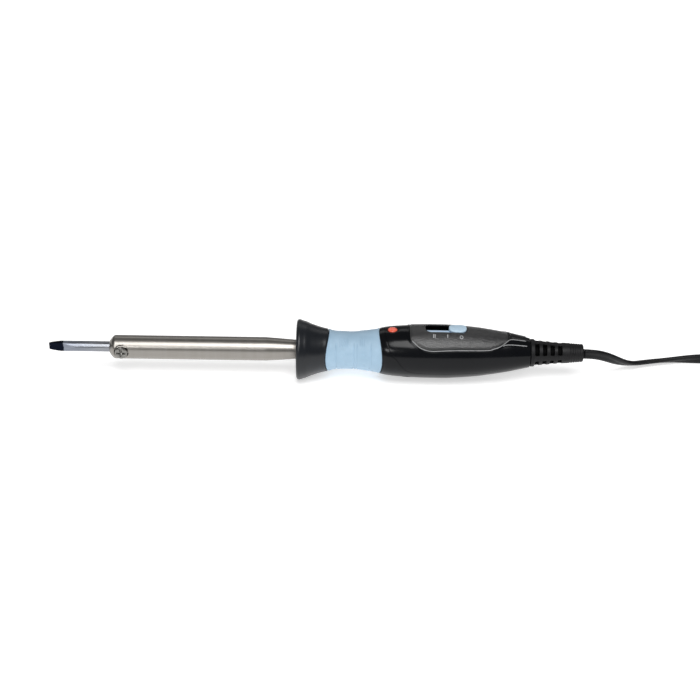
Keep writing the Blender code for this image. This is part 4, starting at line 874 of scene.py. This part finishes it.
def well_rings(centre_x, centre_y, top, count=64):
    """A well's wall: rings of two radii, whose lower edges follow the shell a little within its outside
    and whose upper edges are level."""
    turn = circle(count)
    rings = []
    for radius, low in ((WELL_RADIUS, True), (WELL_RADIUS, False), (WELL_RADIUS + WELL_WALL, False),
                        (WELL_RADIUS + WELL_WALL, True), (WELL_RADIUS, True)):
        x, y = centre_x + radius * np.cos(turn), centre_y + radius * np.sin(turn)
        under = AXIS_Z - np.sqrt((handle_radius(x) - WELL_SUNK) ** 2 - y**2)
        rings.append(np.stack([x, y, under if low else np.full(count, top)], -1))
    return np.stack(rings)


for index, (centre_x, centre_y, top) in enumerate(wells):
    well = joined_rings(f"screw_well_{index + 1}", well_rings(centre_x, centre_y, top), shell_black)
    fitted(well, "iron", "black_plastic")
finish_nodes(plated, "shell_screw_1", "shell_screw_2", "shell_screw_3", "shell_screw_4")

# ---- Switch panel ------------------------------------------------------------------------------------
# A spark-grained black cover let into the upper shell, a little proud of it, with the switch's slot cut
# through it. Its three marks are inlaid in grey: two bars, one bar and a ring.

rail_low, rail_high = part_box("slot_rail")
knob_low, knob_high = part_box("switch_knob")
SLOT_START, SLOT_END = rail_low.x - 0.3 * MM, rail_high.x + 0.3 * MM
SLOT_HALF = 4.1 * MM
SLOT_CORNER = 3.4 * MM
PANEL_PROUD = 0.3 * MM
PANEL_BOW = 1.6 * MM                # how far in from its edge the panel reaches its full height
PANEL_WALL = 1.0 * MM
MARK_ARC = 7.05 * MM
MARK_HALF = 1.15 * MM
MARK_BAR = 0.2 * MM
MARK_PROUD = 0.04 * MM
MARK_REACH = 1.7 * MM
MARKS = [(SLOT_START + 4.9 * MM, "II"), (SLOT_START + 12.4 * MM, "I"), (SLOT_START + 20.2 * MM, "O")]


def rounded_box(a, b, half_a, half_b, corner):
    """Signed distance to a box with round corners, negative within it."""
    past_a, past_b = np.abs(a) - half_a + corner, np.abs(b) - half_b + corner
    beyond = np.hypot(np.maximum(past_a, 0), np.maximum(past_b, 0))
    return beyond + np.minimum(np.maximum(past_a, past_b), 0) - corner


def panel_place(x, angle):
    """The panel's surface: the handle's, raised and bowed down slightly to its edge."""
    edge = above(panel_line, x, angle)
    return around((x, handle_radius(x) + PANEL_PROUD * fade(edge, 0, PANEL_BOW), angle))


def slot_distance(x, angle):
    """Signed distance to the slot, negative within it."""
    middle = (SLOT_START + SLOT_END) / 2
    across = handle_radius(x) * np.sin(angle - np.pi / 2)
    return rounded_box(x - middle, across, (SLOT_END - SLOT_START) / 2, SLOT_HALF, SLOT_CORNER)


def panel_inside(x, angle):
    """Within the panel's line and outside the slot."""
    return np.minimum(above(panel_line, x, angle) - SEAM, slot_distance(x, angle))


def panel_finish():
    """Black plastic with a spark-eroded skin: two sizes of grain as bump, roughness that follows them."""
    made = surface("spark_grain", (0.004, 0.0042, 0.0046), (0.012, 0.0124, 0.0132), (0.32, 0.42), 1500,
                   Specular_IOR_Level=0.9)
    tree = made.node_tree
    coarse = node(tree, "Bump", Height=grain(tree, 1300, 1.0), Distance=0.00026, Strength=1.0)
    fine = node(tree, "Bump", Height=grain(tree, 3400, 2.0), Distance=0.00007,
                Normal=coarse.outputs["Normal"])
    tree.links.new(fine.outputs["Normal"], tree.nodes["Principled BSDF"].inputs["Normal"])
    return made


textured = panel_finish()
panel_x = np.linspace(panel_line[0, 0] - 0.5 * MM, panel_line[-1, 0] + 0.5 * MM, 150)
panel_angle = np.radians(np.linspace(15, 165, 118))
panel = skin("switch_cover", panel_x, panel_angle, panel_place, panel_inside, PANEL_WALL, textured,
             0.12 * MM, wrap=False)
fitted(panel, "iron", "textured_plastic", "switch_panel")


def mark_inside(x, angle, centre, sign):
    """Within a mark: a ring, one bar or two bars that run across the panel."""
    across = handle_radius(x) * (np.pi / 2 - angle) - MARK_ARC
    if sign == "O":
        return MARK_BAR - np.abs(np.hypot((x - centre) * 1.2, across) - MARK_HALF + MARK_BAR)
    shifts = (0.0,) if sign == "I" else (-0.42 * MM, 0.42 * MM)
    bars = [-rounded_box(x - centre - s, across, MARK_BAR, MARK_HALF, 0.1 * MM) for s in shifts]
    return np.maximum.reduce(bars)


def mark_place(x, angle):
    """The surface that the marks lie in, a hair over the panel's."""
    return around((x, handle_radius(x) + PANEL_PROUD + MARK_PROUD, angle))


mark_grey = surface("mark_grey", (0.42, 0.43, 0.44), (0.55, 0.56, 0.57), (0.45, 0.6), 900)
for index, (centre, sign) in enumerate(MARKS):
    mark_radius = float(handle_radius(centre))
    middle, spread = math.pi / 2 - MARK_ARC / mark_radius, MARK_REACH / mark_radius
    mark = skin(f"switch_mark_{index + 1}", np.linspace(centre - MARK_REACH, centre + MARK_REACH, 56),
                np.linspace(middle - spread, middle + spread, 56), mark_place,
                lambda x, angle: mark_inside(x, angle, centre, sign), 0.2 * MM, mark_grey, 0.03 * MM,
                wrap=False)
    fitted(mark, "iron", "textured_plastic")

# ---- Switch ------------------------------------------------------------------------------------------
# A black housing under the slot holds a fixed rail along the slot's near side. Its pale blue is partly the
# switch's blue and partly a painted highlight, for the light along the slot's near side. The pale blue knob
# slides in the slot with its carriage below it, and a copper contact bridges two of three terminals.

RAIL_EDGE = rail_high.y


def rounded_block(low, high, corner, count=22):
    """A block with round edges: the points of a cube's six grids, drawn in to the block less its corner
    radius and pushed back out by it along the way between the two."""
    ease = np.sin(np.linspace(-np.pi / 2, np.pi / 2, count))
    a, b = np.meshgrid(ease, ease, indexing="ij")
    one = np.ones_like(a)
    sides = [(one, a, b), (-one, b, a), (b, one, a), (a, -one, b), (a, b, one), (b, a, -one)]
    points = np.concatenate([np.stack(side, -1).reshape(-1, 3) for side in sides])
    low, high = np.array(low), np.array(high)
    half, middle = (high - low) / 2, (high + low) / 2
    cube = points * half
    core = np.clip(cube, corner - half, half - corner)
    away = cube - core
    away /= np.linalg.norm(away, axis=1)[:, None]
    single = grid_quads(count, count, False)
    return core + corner * away + middle, np.concatenate([single + k * count * count for k in range(6)])


def blocks(name, finish, *several):
    """One object of several blocks."""
    points, quads, made = [], [], 0
    for block_points, block_quads in several:
        points.append(block_points)
        quads.append(block_quads + made)
        made += len(block_points)
    return mesh_object(name, np.vstack(points), np.vstack(quads), finish, weld=True)


# Painted highlight: the rail's paleness stands in for the light lying along the slot's near side.
rail_blue_and_painted_highlight = surface("rail_blue_and_painted_highlight", (0.42, 0.56, 0.72), (0.50, 0.64, 0.80), (0.38, 0.5), 240, depth=0.00001)
rail_top = AXIS_Z + math.sqrt(float(handle_radius(SLOT_END)) ** 2 - rail_low.y**2) - 0.1 * MM
rail_block = rounded_block((rail_low.x, rail_low.y, rail_low.z),
                           (rail_high.x, rail_high.y, max(rail_high.z, rail_top)), 0.35 * MM)
rail = blocks("slot_strip", rail_blue_and_painted_highlight, rail_block)
fitted(rail, "iron", "pale_blue_plastic", "slot_rail")
pale_blue = surface("pale_blue", (0.44, 0.59, 0.72), (0.50, 0.66, 0.79), (0.34, 0.46), 700, depth=0.00003)
KNOB_LENGTH = 10.0 * MM
KNOB_GAP = 0.3 * MM
KNOB_PROUD = 0.8 * MM
KNOB_HALF = SLOT_HALF - KNOB_GAP
knob_x = (SLOT_END - KNOB_GAP - KNOB_LENGTH, SLOT_END - KNOB_GAP)
knob_radius = float(handle_radius(sum(knob_x) / 2)) + PANEL_PROUD
knob_crown = knob_radius - math.sqrt(knob_radius**2 - KNOB_HALF**2)
knob_top = AXIS_Z + knob_radius + KNOB_PROUD


def knob_points(half_x, half_y, low, high, corner, crown, count=120):
    """A stadium-like block as rings: out over its top, which the crown bows down along Y, round its upper
    edge, down its side and back to the middle of its foot. Each ring is a superellipse."""
    turn = circle(count)
    round_x, round_y = squared_off(np.cos(turn), 0.68), squared_off(np.sin(turn), 0.68)
    rows = [(share * (half_x - corner), share * (half_y - corner), high) for share in np.linspace(0, 1, 12)]
    for bend in np.radians([15, 30, 45, 60, 75, 90]):
        out = corner * (1 - np.sin(bend))
        rows.append((half_x - out, half_y - out, high - corner * (1 - np.cos(bend))))
    rows += [(half_x, half_y, low), (0.0, 0.0, low)]
    rings = []
    for size_x, size_y, level in rows:
        y = size_y * round_y
        bow = crown * (y / half_y) ** 2 if level > low else 0 * y
        rings.append(np.stack([size_x * round_x, y, level - bow], -1))
    return np.stack(rings)


knob_rings = knob_points(KNOB_LENGTH / 2, KNOB_HALF, rail_high.z + 0.3 * MM, knob_top, 0.6 * MM, knob_crown)
knob_rings[..., 0] += sum(knob_x) / 2
knob = joined_rings("slide_knob", knob_rings, pale_blue)
fitted(knob, "switch", "pale_blue_plastic", "switch_knob")
NECK_SHORT, NECK_NARROW = 1.8 * MM, 0.8 * MM        # how far it stands in from the knob's ends and side
neck_block = rounded_block(
    (knob_x[0] + NECK_SHORT, RAIL_EDGE + 0.4 * MM, knob_low.z + 1.2 * MM),
    (knob_x[1] - NECK_SHORT, KNOB_HALF - NECK_NARROW, rail_high.z + 0.5 * MM), 0.3 * MM, 10)
foot_block = rounded_block((knob_low.x, knob_low.y, knob_low.z),
                           (knob_high.x, knob_high.y, knob_low.z + 3.5 * MM), 0.4 * MM, 12)
carriage = blocks("knob_carriage", pale_blue, neck_block, foot_block)
fitted(carriage, "switch", "pale_blue_plastic")
copper = surface("sheet_copper", (0.60, 0.30, 0.18), (0.85, 0.48, 0.32), (0.25, 0.45), 300, (1, 5, 5),
                 0.00001, Metallic=1.0)
laminate = surface("board_laminate", (0.20, 0.12, 0.05), (0.36, 0.22, 0.10), (0.4, 0.6), 500, (1, 4, 1),
                   0.00002)
finish_nodes(inner_black, "switch_body", "cord_clamp", "diode")
finish_nodes(copper, "switch_contact", "switch_terminal_1", "switch_terminal_2", "switch_terminal_3")
finish_nodes(laminate, "circuit_board")
finish_nodes(plated, "clamp_screw_1", "clamp_screw_2")

# ---- Indicator lamp ----------------------------------------------------------------------------------
# A neon lamp stands under a domed red lens that fills a round hole in the upper shell. The lens is
# moulded in clear red plastic, with a flange at its foot.

lens_low, lens_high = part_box("indicator_lens")
DOME_HEIGHT = 1.0 * MM
FLANGE_RADIUS, FLANGE_THICKNESS = 3.5 * MM, 1.0 * MM
LENS_SIDES = 96
red_lens = surface("red_lens", (0.84, 0.115, 0.065), (0.93, 0.17, 0.10), (0.22, 0.32), 500, Coat_Weight=0.5,
                   Coat_Roughness=0.12, IOR=1.49)
lens_turn = circle(LENS_SIDES)
dome_angle = np.linspace(0, np.pi / 2, 18)
dome = np.column_stack([LENS_RADIUS * np.sin(dome_angle),
                        lens_high.z - DOME_HEIGHT * (1 - np.cos(dome_angle))])
lens_side = dense([
    (LENS_RADIUS, lens_high.z - 1.1 * MM), (LENS_RADIUS, lens_low.z + FLANGE_THICKNESS),
    (FLANGE_RADIUS, lens_low.z + FLANGE_THICKNESS), (FLANGE_RADIUS, lens_low.z), (0, lens_low.z)], 0.5 * MM)
lens_rows = np.vstack([dome, lens_side])
lens_rings = np.stack([LENS_X + lens_rows[:, :1] * np.cos(lens_turn), lens_rows[:, :1] * np.sin(lens_turn),
                       np.broadcast_to(lens_rows[:, 1:], (len(lens_rows), LENS_SIDES))], -1)
lens = joined_rings("lamp_lens", lens_rings, red_lens)
fitted(lens, "iron", "red_lens", "indicator_lens")
lamp_glass = surface("lamp_glass", (0.75, 0.70, 0.66), (0.88, 0.84, 0.80), (0.06, 0.14), 200,
                     Transmission_Weight=0.6)
finish_nodes(lamp_glass, "indicator_lamp")

# ---- Strain relief -----------------------------------------------------------------------------------
# Black rubber sleeve that keeps the cord's first bend gentle. Four rows of windows are moulded through
# its ribbed part, over a plain inner tube; fine rings finish its end, and its collar meets the handle.

RELIEF_START = HANDLE_END + 0.3 * MM
RELIEF_END = relief_high.x
RING_END = HANDLE_END + 2.8 * MM
RELIEF = [(0.0, 7.6), (0.4, 7.9), (2.2, 7.9), (2.6, 7.5), (3.0, 7.35), (9.5, 6.7), (16.8, 5.98), (20.9, 5.80),
          (25.0, 5.50), (29.7, 5.1), (30.3, 4.8)]
RELIEF_RISE = 0.3 * MM              # how far its end is bent up
RELIEF_WALL = 1.5 * MM
WINDOW_ROWS = 4
WINDOW_PITCH = 4.35 * MM
WINDOW_HALF = 1.2 * MM
WINDOW_ARC = math.radians(31)
FINE_RINGS = 5
FIRST_RING, RING_PITCH, RING_CUT = 23.1 * MM, 1.35 * MM, 0.22 * MM
relief_offset, relief_size = np.array(RELIEF).T * MM


def relief_rise(x):
    """How far the sleeve is bent up at a station, as the square of the way to its end."""
    return RELIEF_RISE * (np.maximum(x - RELIEF_START, 0) / (RELIEF_END - RELIEF_START)) ** 2


def relief_place(x, angle):
    """The sleeve's surface: a taper with a collar in front and fine rings at its end."""
    along = x - RELIEF_START
    radius = smooth_values(along, relief_offset, relief_size)
    for ring in range(FINE_RINGS):
        radius = radius - RING_CUT * bell(along - FIRST_RING - RING_PITCH * ring, 0.3 * MM)
    return around((x, radius, angle)) + np.stack([0 * x, 0 * x, relief_rise(x)], -1)


def relief_inside(x, angle):
    """Between the two ends and outside every window; windows sit at the four diagonals of each row."""
    quarter = (angle % (np.pi / 2)) - np.pi / 4
    distance = np.minimum(x - RELIEF_START, RELIEF_END - x)
    for row in range(WINDOW_ROWS):
        centre = RING_END + 0.1 * MM + WINDOW_HALF + row * WINDOW_PITCH
        size = (6.9 - 0.45 * row) * MM
        window = rounded_box(x - centre, quarter * size, WINDOW_HALF, WINDOW_ARC * size, 0.7 * MM)
        distance = np.minimum(distance, window)
    return distance


rubber = surface("black_rubber", (0.004, 0.004, 0.0046), (0.010, 0.010, 0.011), (0.38, 0.52), 200,
                 depth=0.00002, Specular_IOR_Level=0.2)
relief_x = np.linspace(RELIEF_START, RELIEF_END, 128)
relief = skin("cord_sleeve", relief_x, full_turn(132), relief_place, relief_inside, RELIEF_WALL, rubber,
              0.18 * MM)
fitted(relief, "iron", "black_rubber", "strain_relief")
CORE_BORE = 2.95 * MM
core_outside = dense([
    (relief_low.x, 6.9 * MM), (HANDLE_END - 4.4 * MM, 6.9 * MM), (HANDLE_END - 4.2 * MM, 4.4 * MM),
    (RELIEF_START + 3.0 * MM, 4.4 * MM), (RELIEF_END - 7 * MM, 3.9 * MM), (RELIEF_END, 3.7 * MM)], 1 * MM)
core_bore = dense([(RELIEF_END + 0.1 * MM, 3.0 * MM), (RELIEF_END - 6 * MM, CORE_BORE),
                   (relief_low.x, CORE_BORE)], 2 * MM)
dull_rubber = surface("dull_rubber", (0.001, 0.001, 0.0012), (0.002, 0.002, 0.0022), (0.6, 0.8), 200,
                      Specular_IOR_Level=0.05)
core_rings, core_x, _ = turned_rings(core_outside, core_bore, 96)
core_rings[..., 2] += relief_rise(core_x)
relief_core = joined_rings("sleeve_core", core_rings, dull_rubber)
fitted(relief_core, "iron", "black_rubber")
finish_nodes(sheath, "cord_inner")

# ---- Hank tie ----------------------------------------------------------------------------------------
# A flat strip of soft black rubber that goes once round the hank's waist, under its runs and over them,
# and holds them together.

tie_low, tie_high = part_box("hank_tie")
TIE_X = (tie_low.x + tie_high.x) / 2
TIE_WIDTH, TIE_THICKNESS = 4.6 * MM, 0.8 * MM
TIE_HALF = (tie_high.y - tie_low.y) / 2 - TIE_THICKNESS / 2
TIE_TOP = tie_high.z - TIE_THICKNESS / 2


def strip_section(width, thickness, count=32):
    """A flat strip's outline: an ellipse of high power, which has straight sides and round edges."""
    angle = circle(count)
    c, s = np.cos(angle), np.sin(angle)
    return np.column_stack([width / 2 * squared_off(c, 0.3), thickness / 2 * squared_off(s, 0.3)])


def tie_points(count=160):
    """The strip carried round a rounded rectangle: at each turn the rectangle's radius from its centre
    is that of an ellipse of high power, and the strip's width lies along X."""
    turn = circle(count)
    low, high = TIE_THICKNESS / 2, TIE_TOP
    y = TIE_HALF * squared_off(np.cos(turn), 0.28)
    z = (high + low) / 2 + (high - low) / 2 * squared_off(np.sin(turn), 0.28)
    path = np.column_stack([np.zeros(count), y, z])
    ahead = np.roll(path, -1, 0) - np.roll(path, 1, 0)
    ahead /= np.linalg.norm(ahead, axis=1)[:, None]
    outward = np.column_stack([np.zeros(count), ahead[:, 2], -ahead[:, 1]])
    section = strip_section(TIE_WIDTH, TIE_THICKNESS)
    points = path[:, None] + section[None, :, 1:2] * outward[:, None]
    points[..., 0] = TIE_X + section[None, :, 0]
    return np.concatenate([points, points[:1]])


tie = joined_rings("hank_strip", tie_points(), rubber)
fitted(tie, "iron", "tie_strip", "hank_tie")

# ---- Plug --------------------------------------------------------------------------------------------
# A two-blade plug moulded on the cord in black PVC, waisted for the fingers and ribbed on its sides,
# with a tapering tail. The blades are brass, each with a round hole near its end.

body_low, body_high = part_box("plug_body")
PLUG_Y, PLUG_Z = (body_low.y + body_high.y) / 2, (body_low.z + body_high.z) / 2
PLUG_FORM = [  # share of the way from the tail's end to the blades, half-width and half-height in mm
    (0.0, 3.2, 3.0), (0.05, 3.6, 3.3), (0.20, 3.9, 3.7), (0.27, 4.3, 4.1), (0.31, 7.0, 5.2), (0.36, 9.4, 6.1),
    (0.44, 10.6, 6.6), (0.60, 10.2, 6.4), (0.74, 10.9, 6.8), (0.86, 11.9, 7.2), (0.97, 12.0, 7.25),
    (1.0, 11.9, 7.15)]
PLUG_RIBS = [0.50, 0.545, 0.59, 0.635, 0.68]        # shares of the same way
PLUG_RINGS = [0.08, 0.13, 0.18, 0.23]


def plug_points(rows=170, count=128):
    """The body: a superellipse at each station, squarer towards the blades, with ribs raised across its
    waist, rings on its tail and both ends closed on their middles."""
    share, wide, tall = np.array(PLUG_FORM).T
    at = np.linspace(0, 1, rows)
    turn = circle(count)
    half_wide = smooth_values(at, share, wide * MM)[:, None]
    half_tall = smooth_values(at, share, tall * MM)[:, None]
    power = (1.0 - 0.55 * fade(at, 0.25, 0.45))[:, None]
    c, s = np.cos(turn), np.sin(turn)
    y, z = half_wide * squared_off(c, power), half_tall * squared_off(s, power)
    ribs = 0.35 * MM * np.sum([bell(at - place, 0.010) for place in PLUG_RIBS], axis=0)
    rings = -0.45 * MM * np.sum([bell(at - place, 0.008) for place in PLUG_RINGS], axis=0)
    grow = 1 + (ribs[:, None] * np.abs(c) ** 3 + rings[:, None]) / half_wide
    x = body_low.x + at * (body_high.x - body_low.x)
    body = np.stack([np.broadcast_to(x[:, None], y.shape), PLUG_Y + y * grow, PLUG_Z + z * grow], -1)
    body[..., 2] = np.maximum(body[..., 2], 0.0)
    first, last = (np.broadcast_to([x[k], PLUG_Y, PLUG_Z], (1, count, 3)) for k in (0, -1))
    return np.concatenate([first, body, last])


plug = joined_rings("plug", plug_points(), rubber, flip=True)
fitted(plug, "iron", "plug_moulding", "plug_body")
brass = surface("plug_brass", (0.62, 0.47, 0.22), (0.85, 0.70, 0.40), (0.22, 0.38), 200, (1, 6, 6), 0.00001,
                Metallic=1.0)
HOLE_FROM_END = 3.6 * MM
HOLE_RADIUS = 1.55 * MM
BLADE_CORNER = 0.9 * MM


def blade_inside(x, z, low, high):
    """Within the blade's outline, whose corners are round, and outside its hole."""
    middle_x, middle_z = (low.x + high.x) / 2, (low.z + high.z) / 2
    half_x, half_z = (high.x - low.x) / 2, (high.z - low.z) / 2
    body = -rounded_box(x - middle_x, z - middle_z, half_x, half_z, BLADE_CORNER)
    return np.minimum(body, np.hypot(x - high.x + HOLE_FROM_END, z - middle_z) - HOLE_RADIUS)


for index in (1, 2):
    low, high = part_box(f"plug_blade_{index}")
    blade = skin(f"plug_pin_{index}", np.linspace(low.x, high.x, 90), np.linspace(low.z, high.z, 40),
                 lambda x, z: np.stack([x, np.full_like(x, low.y), z], -1),
                 lambda x, z: blade_inside(x, z, low, high), high.y - low.y, brass, 0.25 * MM, wrap=False)
    fitted(blade, "iron", "plug_brass", f"plug_blade_{index}")
